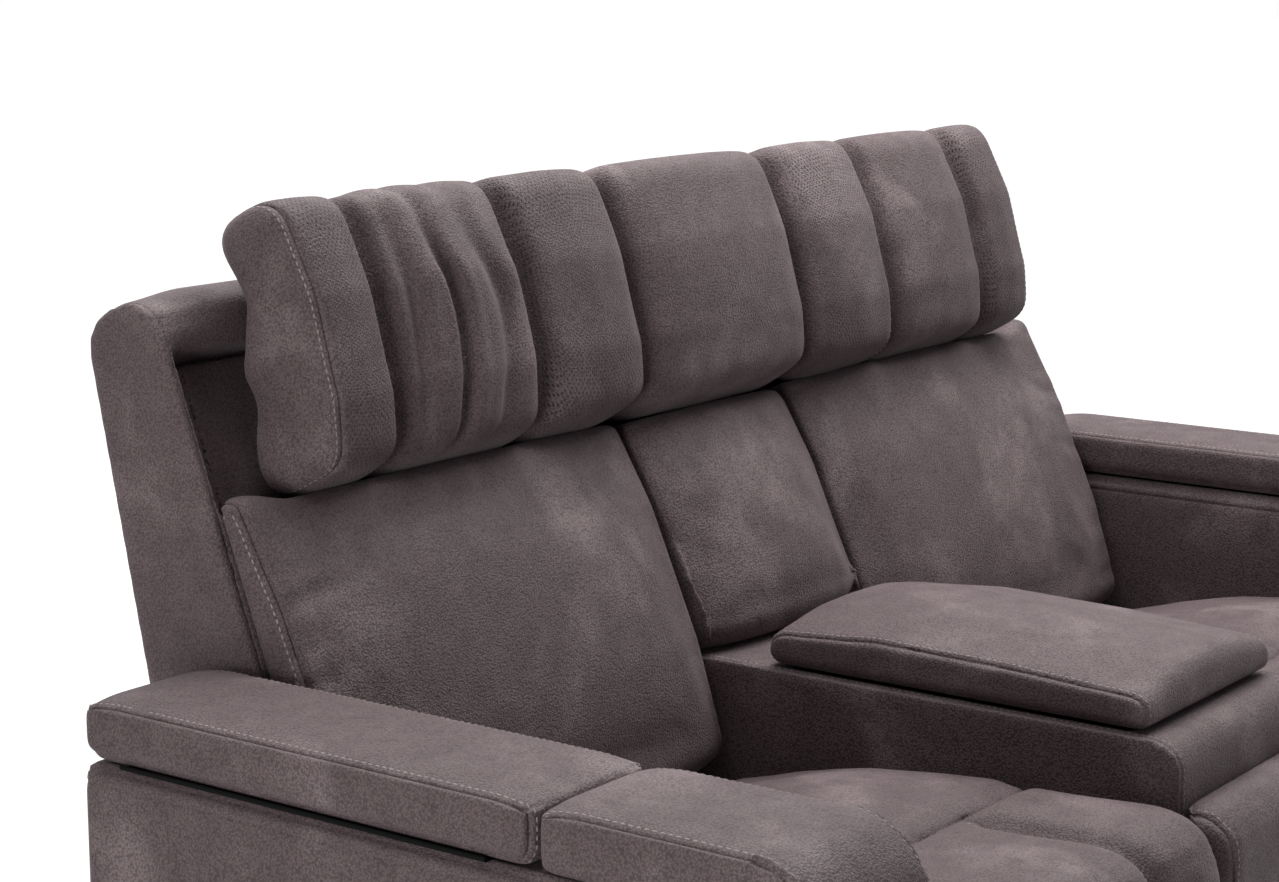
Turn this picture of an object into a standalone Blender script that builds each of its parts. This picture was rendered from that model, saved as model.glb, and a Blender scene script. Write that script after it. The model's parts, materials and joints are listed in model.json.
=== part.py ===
"""Reclining loveseat with a storage console between its two seats.

Units are metres, +X runs to the viewer's right, the front faces -Y and the floor is z = 0.
"""
import math

import bmesh
import bpy
from mathutils import Matrix, Vector

for old in list(bpy.data.objects):
    bpy.data.objects.remove(old, do_unlink=True)

# Widths across the row
ARM_WIDTH = 0.170
SEAT_WIDTH = 0.632
CONSOLE_WIDTH = 0.326
ARM_GAP = 0.007
CONSOLE_GAP = 0.005
SEAT_GAP = 0.0003

# Base
FOOT_HEIGHT = 0.045
FOOT_TOP_RADIUS = 0.028
FOOT_TIP_RADIUS = 0.020
FOOT_INSET = 0.060
RAIL_LIFT = 0.030
RAIL_HEIGHT = 0.030
RAIL_WIDTH = 0.040
RAIL_EDGE = 0.003
FRONT_RAIL_Y = -0.300
REAR_RAIL_Y = 0.250

# Arms
ARM_FRONT = -0.4414
ARM_REAR = 0.324
ARM_TOP = 0.600
ARM_EDGE = 0.010
ARM_WALL = 0.024
ARM_WELL_DEPTH = 0.150
LID_GAP = 0.006
LID_SPLIT = -0.207
LID_THICK = 0.056
LID_EDGE = 0.014
SPLIT_GAP = 0.003
ARM_PAD_THICK = 0.050
ARM_PAD_FOOT = 0.065
ARM_PAD_ROLL = 0.075

# Hinges under the lids
HINGE_RADIUS = 0.0022
HINGE_LEAF = 0.0012
HINGE_LEAF_WIDTH = 0.020
HINGE_INSET = 0.0045
HINGE_MARGIN = 0.050
HINGE_CLEAR = 0.0005
LID_BOARD_INSET = 0.012

# Console
CONSOLE_FRONT = -0.398
CONSOLE_REAR = 0.228
CONSOLE_TOP = 0.546
CONSOLE_ROLL = 0.032
CONSOLE_WALL = 0.024
CONSOLE_BIN_DEPTH = 0.210
CONSOLE_LID_FRONT = -0.357
CONSOLE_LID_REAR = 0.111
CONSOLE_LID_SIDE = 0.007
CONSOLE_LID_BAND = 0.046
CONSOLE_LID_CROWN = 0.018
CONSOLE_LID_HIGH = 0.140
CONSOLE_LID_MID = 0.304
CONSOLE_LID_SAG = 0.003
CONSOLE_LID_DROP = 0.013
CONSOLE_LID_ROLL = 0.024
CONSOLE_LID_EDGE = 0.009
CONSOLE_PAD_TOP = 0.484
CONSOLE_PAD_THICK = 0.062
CONSOLE_PAD_ROLL = 0.048
CONSOLE_PAD_EDGE = 0.024

# Seat
SEAT_HEIGHT = 0.478
SEAT_FRONT = -0.456
SEAT_DROP = 0.054
SEAT_HIGH_Y = -0.330
SEAT_THICK = 0.152
SEAT_CROWN = 0.012
SEAT_SEAM_INSET = 0.142
SEAT_SEAM_DEPTH = 0.008
SEAT_SEAM_WIDTH = 0.014
SEAT_CROSS_Y = -0.235
SEAT_ROLL = 0.066
SEAT_EDGE = 0.028
SEAT_TUCK = 0.030
SEAT_NOSE = 0.020
SEAT_BACK_GAP = 0.008
DECK_HEIGHT = 0.040
DECK_RAIL = 0.045
DECK_STRAPS = 5
STRAP_WIDTH = 0.046
STRAP_THICK = 0.006
DECK_OVERHANG = 0.040

# Back, measured up the raked back (v) and out of it (n) from the recline pivot
RAKE = math.radians(20.85)
PIVOT_Y = 0.200
PIVOT_RISE = 0.0043
SHELL_RISE = 0.2255
SHELL_FOOT = -0.055
SHELL_TOP_DEPTH = 0.100
SHELL_TAPER = math.radians(8.9)
SHELL_EDGE = 0.010
WING_FACE = 0.051
WING_WIDTH = 0.045
WING_STEP = 0.003
WING_FILLET = 0.004
WING_FOOT = 0.100
RECESS_FACE = 0.003
ROLL_HEIGHT = 0.062
ROLL_RADIUS = 0.044
ROLL_FILLET = 0.016
BEVEL_FOOT_DEPTH = 0.085
BEVEL_TOP_V = 0.062
PANEL_THICK = 0.018
PANEL_GAP = 0.010
PANEL_EDGE = 0.006
PANEL_TOP_GAP = 0.004
ROLL_LIP = 0.006
PAD_FOOT = 0.078
PAD_FACE = 0.096
PAD_CROWN = 0.020
PAD_LEAN = 0.018
PAD_SHOULDER = 0.100
PAD_LUMBAR = 0.260
PAD_SWELL = 0.008
PAD_TOP_ROLL = 0.022
PAD_FOOT_ROLL = 0.030
PAD_EDGE = 0.016
PAD_SIDE_GAP = 0.004
CONSOLE_SHELL_FRONT = 0.236
CONSOLE_SHELL_REAR = 0.345
CONSOLE_SHELL_KNEE = 0.250

# Headrest
HEAD_FOOT = 0.4865
HEAD_FOOT_GAP = 0.0065
HEAD_HEIGHT = 0.2835
HEAD_REAR = 0.028
HEAD_WAIST = 0.060
HEAD_FACE = 0.146
HEAD_LEAN = 0.010
HEAD_BROW = 0.110
HEAD_CHIN = 0.072
HEAD_TUCK = 0.022
HEAD_SOLE = 0.045
HEAD_TOP_DROP = 0.012
HEAD_REAR_ROLL = 0.026
HEAD_TOP_ROLL = 0.030
HEAD_FRONT_ROLL = 0.036
HEAD_CROWN = 0.018
HEAD_EDGE = 0.024
HEAD_INNER_GAP = 0.005
HEAD_OUTER_GAP = 0.089
HEAD_SEAM_INNER = 0.187
HEAD_SEAM_OUTER = 0.120
HEAD_SEAM_DEPTH = 0.014
HEAD_SEAM_WIDTH = 0.012
SEAM_REACH = 0.020
HEAD_PIVOT_RISE = 0.0005
HEAD_PIVOT_DEPTH = 0.105
HEAD_PLATE_WIDTH = 0.300
HEAD_PLATE_THICK = 0.004
HEAD_PLATE_RISE = 0.033
HEAD_PLATE_HEIGHT = 0.092
HEAD_ARM_WIDTH = 0.060
HEAD_ARM_THICK = 0.006
HEAD_ARM_RADIUS = 0.120
HEAD_ARM_SWEEP = math.radians(42)
HEAD_ARM_CLEAR = 0.0008
HEAD_POCKET_DEPTH = 0.040
HEAD_POCKET_HEIGHT = 0.084

# Recline mechanism
PLATE_THICK = 0.004
PLATE_INSET = 0.012
PLATE_FOOT_RISE = 0.026
PLATE_NECK = 0.080
PLATE_EAR = 0.018
PLATE_NOSE = 0.022
PLATE_SKIRT = 0.060
PLATE_CORNER = 0.018
PLATE_LIP = 0.004
WINDOW_COUNT = 3
WINDOW_WEB = 0.034
WINDOW_RISE = 0.040
LAYER_GAP = 0.001
LUG_RADIUS = 0.013
PIN_RADIUS = 0.006
PIN_CLEAR = 0.0004
PIN_HEAD = 0.002
LINK_LENGTH = 0.190
LINK_Y = -0.355
LINK_DROP = 0.028
LINK_START = 0.045
LINK_RISE = math.radians(6)
LINK_OPEN = math.radians(53)
CRANK_LENGTH = 0.060
CRANK_THICK = 0.006
BOARD_THICK = 0.016
BOARD_HEIGHT = 0.175
BOARD_ABOVE = 0.012
BOARD_EDGE = 0.002
FOOTREST_PAD_THICK = 0.052
FOOTREST_PAD_HEIGHT = 0.236
FOOTREST_GAP = 0.008
FOOTREST_CROWN = 0.012
FOOTREST_ROLL = 0.026
FOOTREST_EDGE = 0.018
BRACKET_THICK = 0.004
BRACKET_SPREAD = 0.020

# Actuator
TUBE_SIZE = 0.036
TUBE_LENGTH = 0.220
ROD_RADIUS = 0.010
ROD_CLEAR = 0.0004
ROD_SHOWN = 0.045
ROD_ENGAGE = 0.110
BORE_END = 0.010
FORK_GAP = 0.0015
FORK_THICK = 0.005
FORK_LENGTH = 0.024
FORK_HEIGHT = 0.024
GEARBOX_LENGTH = 0.075
GEARBOX_SIZE = 0.062
GEARBOX_LAP = 0.010
HOUSING_EDGE = 0.004
MOTOR_RADIUS = 0.024
MOTOR_LENGTH = 0.110
MOUNT_WIDTH = 0.030
MOUNT_FOOT = 0.014
MOUNT_DEPTH = 0.024

# Switches on the inner arm faces
SWITCH_Y = -0.330
SWITCH_DROP = 0.065
SWITCH_PITCH = 0.030
SWITCH_LENGTH = 0.036
SWITCH_WIDTH = 0.018
SWITCH_PROUD = 0.003
SWITCH_BODY = 0.006
SWITCH_DISH = 0.0015
SWITCH_DRAFT = 0.003
SWITCH_LIP = 0.001
SWITCH_POCKET = 0.012
SWITCH_CLEAR = 0.0005

# Stations of the lofted pads, as shares of their width
PAD_SHARES = (0.2, 0.35, 0.5, 0.65, 0.8)
FOOTREST_SHARES = (0.2, 0.5, 0.8)
NARROW_SHARES = (0.3, 0.5, 0.7)

# Places that follow from the sizes above
X_CONSOLE = CONSOLE_WIDTH / 2
X_IN = X_CONSOLE + CONSOLE_GAP
X_OUT = X_IN + SEAT_WIDTH
X_ARM = X_OUT + ARM_GAP
X_SIDE = X_ARM + ARM_WIDTH
X_MID = (X_IN + X_OUT) / 2
X_WING = X_OUT - WING_WIDTH
RAIL_TOP = FOOT_HEIGHT + RAIL_LIFT + RAIL_HEIGHT
SWITCH_Z = ARM_TOP - SWITCH_DROP
LID_BOTTOM = ARM_TOP + LID_GAP
LID_TOP = LID_BOTTOM + LID_THICK
SEAT_BOTTOM = SEAT_HEIGHT - SEAT_THICK
DECK_TOP = SEAT_BOTTOM - SEAT_GAP
DECK_BOTTOM = DECK_TOP - DECK_HEIGHT
LINK_Z = DECK_BOTTOM - LINK_DROP
PIVOT_Z = DECK_TOP + PIVOT_RISE
PAD_TOP = HEAD_FOOT - HEAD_FOOT_GAP
HEAD_PIVOT_HEIGHT = HEAD_FOOT + HEAD_PIVOT_RISE
HEAD_PLATE_FOOT = HEAD_PIVOT_HEIGHT + HEAD_PLATE_RISE
HEAD_PLATE_TOP = HEAD_PLATE_FOOT + HEAD_PLATE_HEIGHT
CONSOLE_LID_BOTTOM = CONSOLE_TOP + LID_GAP
SHELL_TOP = HEAD_FOOT + SHELL_RISE
HEAD_TOP = HEAD_FOOT + HEAD_HEIGHT
PANEL_TOP = SHELL_TOP - ROLL_HEIGHT - ROLL_LIP - PANEL_TOP_GAP
HEAD_LO = X_IN + HEAD_INNER_GAP
HEAD_HI = X_OUT - HEAD_OUTER_GAP
SWITCH_SPAN = SWITCH_LENGTH / 2 + SWITCH_CLEAR
LEAF_RISE = HINGE_LEAF + 2 * SEAT_GAP


def back(v, n):
    """Floor-frame (y, z) of a point v up the raked back and n out of it."""
    y = PIVOT_Y + v * math.sin(RAKE) - n * math.cos(RAKE)
    z = PIVOT_Z + v * math.cos(RAKE) + n * math.sin(RAKE)
    return y, z


def rear_n(v):
    """How far out of the back the rear cover lies at height v."""
    return WING_FACE - SHELL_TOP_DEPTH - (SHELL_TOP - v) * math.tan(SHELL_TAPER)


def look(name, colour, roughness, metallic=0.0):
    """Principled material with one colour, roughness and metallic value."""
    mat = bpy.data.materials.new(name)
    mat.use_nodes = True
    shader = mat.node_tree.nodes["Principled BSDF"]
    shader.inputs["Base Color"].default_value = (*colour, 1.0)
    shader.inputs["Roughness"].default_value = roughness
    shader.inputs["Metallic"].default_value = metallic
    return mat


LEATHER = look("upholstery", (0.135, 0.105, 0.112), 0.62)
STEEL = look("dark_steel", (0.050, 0.050, 0.055), 0.42, 0.9)
WOOD = look("plywood", (0.420, 0.290, 0.170), 0.70)
PLASTIC = look("black_plastic", (0.020, 0.020, 0.022), 0.45)
ZINC = look("zinc_steel", (0.560, 0.560, 0.580), 0.35, 1.0)


def axis(name, location, parent=None):
    """Empty on a joint axis; moving pieces hang from it."""
    empty = bpy.data.objects.new(name, None)
    empty["place"] = location
    if parent:
        empty.parent = parent
        location = Vector(location) - Vector(parent["place"])
    empty.location = location
    bpy.context.collection.objects.link(empty)
    return empty


def to_object(name, bm, material, parent=None, smooth=None):
    """Close a bmesh into a named object, hung from the empty on its joint axis."""
    bmesh.ops.recalc_face_normals(bm, faces=bm.faces)
    mesh = bpy.data.meshes.new(name)
    bm.to_mesh(mesh)
    bm.free()
    if material:
        mesh.materials.append(material)
    if smooth:
        mesh.shade_smooth()
        mesh.set_sharp_from_angle(angle=math.radians(smooth))
    obj = bpy.data.objects.new(name, mesh)
    bpy.context.collection.objects.link(obj)
    if parent:
        mesh.transform(Matrix.Translation(-Vector(parent["place"])))
        obj.parent = parent
    return obj


def rounded(corners, steps=3):
    """Closed outline from (y, z, radius) corners, each radius an arc of a few chords."""
    points = []
    for i, (y, z, radius) in enumerate(corners):
        corner = Vector((y, z))
        to_last = (Vector(corners[i - 1][:2]) - corner).normalized()
        to_next = (Vector(corners[(i + 1) % len(corners)][:2]) - corner).normalized()
        if radius == 0:
            points.append((y, z))
            continue
        if to_last.dot(to_next) < -0.999:
            for k in range(steps + 1):
                share = k / steps
                spot = corner + to_last * radius * (1 - share) / 2 + to_next * radius * share / 2
                points.append(tuple(spot))
            continue
        half = to_last.angle(to_next) / 2
        centre = corner + (to_last + to_next).normalized() * radius / math.sin(half)
        start = corner + to_last * radius / math.tan(half) - centre
        end = corner + to_next * radius / math.tan(half) - centre
        turn = math.atan2(start.x * end.y - start.y * end.x, start.dot(end))
        for k in range(steps + 1):
            spoke = Matrix.Rotation(turn * k / steps, 2) @ start
            points.append(tuple(centre + spoke))
    return points


def shrink(points, amount):
    """Outline drawn in by an even amount along its corner bisectors."""
    if amount == 0:
        return points
    area = sum(p[0] * q[1] - q[0] * p[1] for p, q in zip(points, points[1:] + points[:1]))
    sign = 1 if area > 0 else -1
    drawn = []
    for i, point in enumerate(points):
        here = Vector(point)
        before = (here - Vector(points[i - 1])).normalized()
        after = (Vector(points[(i + 1) % len(points)]) - here).normalized()
        across = (before + after).normalized()
        inward = Vector((-across.y, across.x)) * sign
        stretch = max(0.6, across.dot(after))
        drawn.append(tuple(here + inward * amount / stretch))
    return drawn


def loft(name, stations, outline, material, parent=None, side=1, smooth=50):
    """Extrude an outline along X from station to station, drawing it in at rounded ends.

    stations are (x, inset) pairs and outline(x) gives the (y, z) points there.
    """
    bm = bmesh.new()
    x, inset = stations[0]
    ring = [bm.verts.new((side * x, y, z)) for y, z in shrink(outline(x), inset)]
    bm.faces.new(ring)
    for x, inset in stations[1:]:
        points = shrink(outline(x), inset)
        edges = [bm.edges.get((ring[i - 1], ring[i])) for i in range(len(ring))]
        made = bmesh.ops.extrude_edge_only(bm, edges=edges)
        fresh = {v.co.to_tuple(6): v for v in made["geom"] if isinstance(v, bmesh.types.BMVert)}
        ring = [fresh[v.co.to_tuple(6)] for v in ring]
        for vert, (y, z) in zip(ring, points):
            vert.co = (side * x, y, z)
    bm.faces.new(ring)
    return to_object(name, bm, material, parent, smooth)


def soft_stations(lo, hi, radius, middle=(), steps=3):
    """Stations with a nearly quarter-round end at each side and plain ones between."""
    first_turn = math.radians(10)
    ends = []
    for k in range(steps + 1):
        turn = first_turn + (math.pi / 2 - first_turn) * k / steps
        ends.append((radius * (math.cos(first_turn) - math.cos(turn)), radius * (1 - math.sin(turn))))
    first = [(lo + run, inset) for run, inset in ends]
    last = [(hi - run, inset) for run, inset in reversed(ends)]
    return first + [(x, 0.0) for x in middle] + last


def crown(x, lo, hi):
    """Stuffed height across a panel: 1 in its middle, 0 at its edges."""
    share = (x - lo) / (hi - lo)
    return max(0.0, 1 - (2 * share - 1) ** 2)


def prism(name, points, lo, hi, material, parent=None, side=1, smooth=40):
    """Outline in (y, z) extruded from x = lo to x = hi."""
    return loft(name, [(lo, 0.0), (hi, 0.0)], lambda x: points, material, parent, side, smooth)


def plan_prism(name, points, low, high, material, parent=None):
    """Outline in (x, y) extruded from z = low to z = high."""
    bm = bmesh.new()
    face = bm.faces.new([bm.verts.new((x, y, low)) for x, y in points])
    made = bmesh.ops.extrude_face_region(bm, geom=[face])
    top = [v for v in made["geom"] if isinstance(v, bmesh.types.BMVert)]
    bmesh.ops.translate(bm, vec=(0, 0, high - low), verts=top)
    return to_object(name, bm, material, parent)


def box(name, low, high, material, parent=None, edge=0.0):
    """Block between two corners, with its edges broken."""
    bm = bmesh.new()
    bmesh.ops.create_cube(bm, size=1.0)
    size = [h - l for l, h in zip(low, high)]
    middle = [(l + h) / 2 for l, h in zip(low, high)]
    bmesh.ops.scale(bm, vec=size, verts=bm.verts)
    bmesh.ops.translate(bm, vec=middle, verts=bm.verts)
    if edge:
        bmesh.ops.bevel(bm, geom=bm.edges, offset=edge, affect="EDGES", segments=1, profile=0.5, material=-1)
    return to_object(name, bm, material, parent)


def rod(name, lo, hi, y, z, radius, material, parent=None, segments=16):
    """Round bar along X."""
    bm = bmesh.new()
    turn = Matrix.Rotation(math.radians(90), 4, "Y")
    place = Matrix.Translation(((lo + hi) / 2, y, z))
    bmesh.ops.create_cone(bm, cap_ends=True, segments=segments, radius1=radius, radius2=radius,
                          depth=abs(hi - lo), matrix=place @ turn)
    return to_object(name, bm, material, parent, 40)


def spindle(name, x, lo, hi, z, radius, material, parent=None, segments=16):
    """Round bar along Y."""
    bm = bmesh.new()
    turn = Matrix.Rotation(math.radians(90), 4, "X")
    place = Matrix.Translation((x, (lo + hi) / 2, z))
    bmesh.ops.create_cone(bm, cap_ends=True, segments=segments, radius1=radius, radius2=radius,
                          depth=hi - lo, matrix=place @ turn)
    return to_object(name, bm, material, parent, 40)


def hidden(obj):
    """Turn an object into a shape used only to cut or to join."""
    obj.hide_render = True
    obj.display_type = "WIRE"
    return obj


def boolean(target, tool, operation, solver="EXACT"):
    """Cut a shape out of the target, or weld it on."""
    mod = target.modifiers.new(operation.lower(), "BOOLEAN")
    mod.operation = operation
    mod.solver = solver
    mod.object = hidden(tool)


def cut(target, tool):
    boolean(target, tool, "DIFFERENCE")


def weld(target, *tools):
    for tool in tools:
        boolean(target, tool, "UNION")


def drill(target, lo, hi, y, z, radius):
    """Round hole along X."""
    cut(target, rod("hole_in_" + target.name, lo, hi, y, z, radius, None))


def capsule(y0, z0, y1, z1, radius, steps=5):
    """Outline of a link with a round end about each pivot."""
    heading = math.atan2(z1 - z0, y1 - y0)
    points = []
    for cy, cz, start in ((y0, z0, heading + math.pi / 2), (y1, z1, heading - math.pi / 2)):
        for k in range(steps + 1):
            turn = start + math.pi * k / steps
            points.append((cy + radius * math.cos(turn), cz + radius * math.sin(turn)))
    return points


def half_round(y, z, radius, steps=6):
    """Rear half of a circle about a pivot, from below it to above it."""
    turns = [math.pi * (k / steps - 0.5) for k in range(steps + 1)]
    return [(y + radius * math.cos(turn), z + radius * math.sin(turn)) for turn in turns]


# Joint places of the footrest linkage: two equal links carry its pivot along a straight line
LINK_FOLD = math.acos(LINK_START / (2 * LINK_LENGTH))
TRAVEL = math.pi - LINK_RISE
KNEE_Y = LINK_Y + LINK_LENGTH * math.cos(TRAVEL + LINK_FOLD)
KNEE_Z = LINK_Z + LINK_LENGTH * math.sin(TRAVEL + LINK_FOLD)
TOE_Y = LINK_Y + LINK_START * math.cos(TRAVEL)
TOE_Z = LINK_Z + LINK_START * math.sin(TRAVEL)
CRANK_START = math.radians(270) + LINK_OPEN / 2
CRANK_Y = LINK_Y + CRANK_LENGTH * math.cos(CRANK_START)
CRANK_Z = LINK_Z + CRANK_LENGTH * math.sin(CRANK_START)
BOARD_REAR = TOE_Y - LUG_RADIUS
HEAD_PIVOT = back(HEAD_PIVOT_HEIGHT, HEAD_PIVOT_DEPTH)
ROOT = axis("loveseat", (0, 0, 0))


def arm(tag, side):
    """Arm box with a storage well under its lid and pockets for the switches."""
    outline = rounded([
        (ARM_FRONT, FOOT_HEIGHT, ARM_EDGE),
        (ARM_REAR, FOOT_HEIGHT, ARM_EDGE),
        (ARM_REAR, ARM_TOP, ARM_EDGE),
        (ARM_FRONT, ARM_TOP, ARM_EDGE),
    ], 2)
    stations = soft_stations(X_ARM, X_SIDE, ARM_EDGE, steps=2)
    body = loft(tag + "_arm_body", stations, lambda x: outline, LEATHER, ROOT, side)
    well = box("well_in_" + tag + "_arm",
               (min(side * (X_ARM + ARM_WALL), side * (X_SIDE - ARM_WALL)),
                LID_SPLIT + ARM_WALL, ARM_TOP - ARM_WELL_DEPTH),
               (max(side * (X_ARM + ARM_WALL), side * (X_SIDE - ARM_WALL)),
                ARM_REAR - ARM_WALL, ARM_TOP + ARM_WALL), None)
    cut(body, well)
    for z in (SWITCH_Z, SWITCH_Z - SWITCH_PITCH):
        reach = sorted((side * (X_ARM - SWITCH_POCKET), side * (X_ARM + SWITCH_POCKET)))
        pocket = box("pocket_in_" + tag + "_arm",
                     (reach[0], SWITCH_Y - SWITCH_SPAN, z - SWITCH_WIDTH / 2 - SWITCH_CLEAR),
                     (reach[1], SWITCH_Y + SWITCH_SPAN, z + SWITCH_WIDTH / 2 + SWITCH_CLEAR), None)
        cut(body, pocket)
    return body


def arm_front_pad(tag, side):
    """Fixed pad that runs over the front of the arm top and rolls down its front."""
    top = LID_TOP
    front = ARM_FRONT - ARM_PAD_THICK
    rear = LID_SPLIT - SPLIT_GAP / 2
    outline = rounded([
        (rear, ARM_TOP + SEAT_GAP, 0),
        (rear, top, LID_EDGE),
        (front, top, ARM_PAD_ROLL),
        (front, ARM_PAD_FOOT, LID_EDGE),
        (ARM_FRONT - SEAT_GAP, ARM_PAD_FOOT, 0),
        (ARM_FRONT - SEAT_GAP, ARM_TOP + SEAT_GAP, 0),
    ], 4)
    mid = (X_ARM + X_SIDE) / 2
    stations = soft_stations(X_ARM, X_SIDE, LID_EDGE, (mid,))
    return loft(tag + "_arm_front_pad", stations, lambda x: outline, LEATHER, ROOT, side)


def arm_lid(tag, side):
    """Padded lid over the storage well, hinged along its outer edge."""
    pivot = (side * (X_SIDE - HINGE_INSET), (LID_SPLIT + ARM_REAR) / 2, ARM_TOP + LID_GAP / 2)
    hinge = axis(tag + "_arm_lid_axis", pivot, ROOT)
    outline = rounded([
        (LID_SPLIT + SPLIT_GAP / 2, LID_BOTTOM, LID_EDGE),
        (ARM_REAR, LID_BOTTOM, LID_EDGE),
        (ARM_REAR, LID_TOP, LID_EDGE),
        (LID_SPLIT + SPLIT_GAP / 2, LID_TOP, LID_EDGE),
    ])
    mid = (X_ARM + X_SIDE) / 2
    stations = soft_stations(X_ARM, X_SIDE, LID_EDGE, (mid,))
    lid = loft(tag + "_arm_lid", stations, lambda x: outline, LEATHER, hinge, side)
    board_edge = X_SIDE - HINGE_INSET - HINGE_RADIUS - HINGE_CLEAR
    ends = sorted((side * (X_ARM + LID_BOARD_INSET), side * board_edge))
    low = (ends[0], LID_SPLIT + LID_BOARD_INSET, ARM_TOP + LEAF_RISE)
    high = (ends[1], ARM_REAR - LID_BOARD_INSET, LID_BOTTOM + LID_EDGE)
    weld(lid, box(tag + "_arm_lid_board", low, high, None))
    return lid


def arm_lid_hinge(tag, side):
    """Strip hinge along the outer edge of the arm well, lying on the arm top."""
    edge = X_SIDE - HINGE_INSET
    base = ARM_TOP + SEAT_GAP
    centre = ARM_TOP + LID_GAP / 2
    low = (min(side * (edge - HINGE_LEAF_WIDTH), side * edge), LID_SPLIT + HINGE_MARGIN, base)
    high = (max(side * (edge - HINGE_LEAF_WIDTH), side * edge), ARM_REAR - HINGE_MARGIN, base + HINGE_LEAF)
    leaf = box(tag + "_arm_lid_hinge", low, high, ZINC, ROOT)
    weld(leaf, spindle(tag + "_arm_lid_barrel", side * edge, low[1], high[1], centre, HINGE_RADIUS, None,
                       segments=10))
    return leaf


def console_box():
    """Console case: rolled top front, storage bin and notches over the base rails."""
    corners = [
        (CONSOLE_FRONT, FOOT_HEIGHT, 0),
    ]
    for y in (FRONT_RAIL_Y, REAR_RAIL_Y):
        if y + RAIL_WIDTH / 2 < CONSOLE_REAR:
            lo = y - RAIL_WIDTH / 2 - SEAT_GAP
            hi = y + RAIL_WIDTH / 2 + SEAT_GAP
            corners += [(lo, FOOT_HEIGHT, 0), (lo, RAIL_TOP + SEAT_GAP, 0)]
            corners += [(hi, RAIL_TOP + SEAT_GAP, 0), (hi, FOOT_HEIGHT, 0)]
    corners += [
        (CONSOLE_REAR, FOOT_HEIGHT, 0),
        (CONSOLE_REAR, CONSOLE_TOP, ARM_EDGE),
        (CONSOLE_FRONT, CONSOLE_TOP, CONSOLE_ROLL),
    ]
    outline = rounded(corners, 4)
    case = prism("console_box", outline, -X_CONSOLE, X_CONSOLE, LEATHER, ROOT)
    bin_low = (-X_CONSOLE + CONSOLE_WALL, CONSOLE_LID_FRONT + CONSOLE_WALL, CONSOLE_TOP - CONSOLE_BIN_DEPTH)
    bin_high = (X_CONSOLE - CONSOLE_WALL, CONSOLE_LID_REAR - CONSOLE_WALL, CONSOLE_TOP + CONSOLE_WALL)
    cut(case, box("bin_in_console", bin_low, bin_high, None))
    return case


def console_lid():
    """Padded console lid, boxed at the sides, rolled down at both ends, hinged at the rear."""
    pivot = (0, CONSOLE_LID_REAR - HINGE_INSET, CONSOLE_TOP + LID_GAP / 2)
    hinge = axis("console_lid_axis", pivot, ROOT)
    lo = -X_CONSOLE + CONSOLE_LID_SIDE
    hi = X_CONSOLE - CONSOLE_LID_SIDE

    def outline(x):
        rise = CONSOLE_LID_BAND + CONSOLE_LID_CROWN * crown(x, lo, hi) ** 0.6
        top = CONSOLE_LID_BOTTOM + rise
        return rounded([
            (CONSOLE_LID_FRONT, CONSOLE_LID_BOTTOM, CONSOLE_LID_EDGE),
            (CONSOLE_LID_REAR, CONSOLE_LID_BOTTOM, CONSOLE_LID_EDGE),
            (CONSOLE_LID_REAR, top - CONSOLE_LID_DROP, CONSOLE_LID_ROLL),
            (CONSOLE_LID_REAR - CONSOLE_LID_HIGH, top, 0),
            (CONSOLE_LID_REAR - CONSOLE_LID_MID, top - CONSOLE_LID_SAG, 0),
            (CONSOLE_LID_FRONT, top - CONSOLE_LID_DROP, CONSOLE_LID_ROLL),
        ])

    mids = [lo + (hi - lo) * share for share in NARROW_SHARES]
    lid = loft("console_lid", soft_stations(lo, hi, CONSOLE_LID_EDGE, mids), outline, LEATHER, hinge)
    low = (lo + LID_BOARD_INSET, CONSOLE_LID_FRONT + LID_BOARD_INSET, CONSOLE_TOP + LEAF_RISE)
    high = (hi - LID_BOARD_INSET, CONSOLE_LID_REAR - HINGE_INSET - HINGE_RADIUS - HINGE_CLEAR,
            CONSOLE_LID_BOTTOM + CONSOLE_LID_EDGE)
    boolean(lid, box("console_lid_board", low, high, None), "UNION", "FAST")
    return lid


def console_lid_hinge():
    """Strip hinge under the rear edge of the console lid."""
    edge = CONSOLE_LID_REAR - HINGE_INSET
    base = CONSOLE_TOP + SEAT_GAP
    half = X_CONSOLE - HINGE_MARGIN
    leaf = box("console_lid_hinge", (-half, edge - HINGE_LEAF_WIDTH, base),
               (half, edge, base + HINGE_LEAF), ZINC, ROOT)
    weld(leaf, rod("console_lid_barrel", -half, half, edge, CONSOLE_TOP + LID_GAP / 2, HINGE_RADIUS, None,
                   segments=10))
    return leaf


def console_front_pad():
    """Stuffed pad down the front of the console."""
    rear = CONSOLE_FRONT - SEAT_GAP
    front = rear - CONSOLE_PAD_THICK
    outline = rounded([
        (rear, FOOT_HEIGHT + RAIL_LIFT, 0),
        (rear, CONSOLE_PAD_TOP, 0),
        (front, CONSOLE_PAD_TOP, CONSOLE_PAD_ROLL),
        (front, FOOT_HEIGHT + RAIL_LIFT, CONSOLE_PAD_EDGE),
    ], 4)
    stations = soft_stations(-X_CONSOLE, X_CONSOLE, CONSOLE_PAD_EDGE, (0.0,))
    return loft("console_front_pad", stations, lambda x: outline, LEATHER, ROOT)


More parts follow.
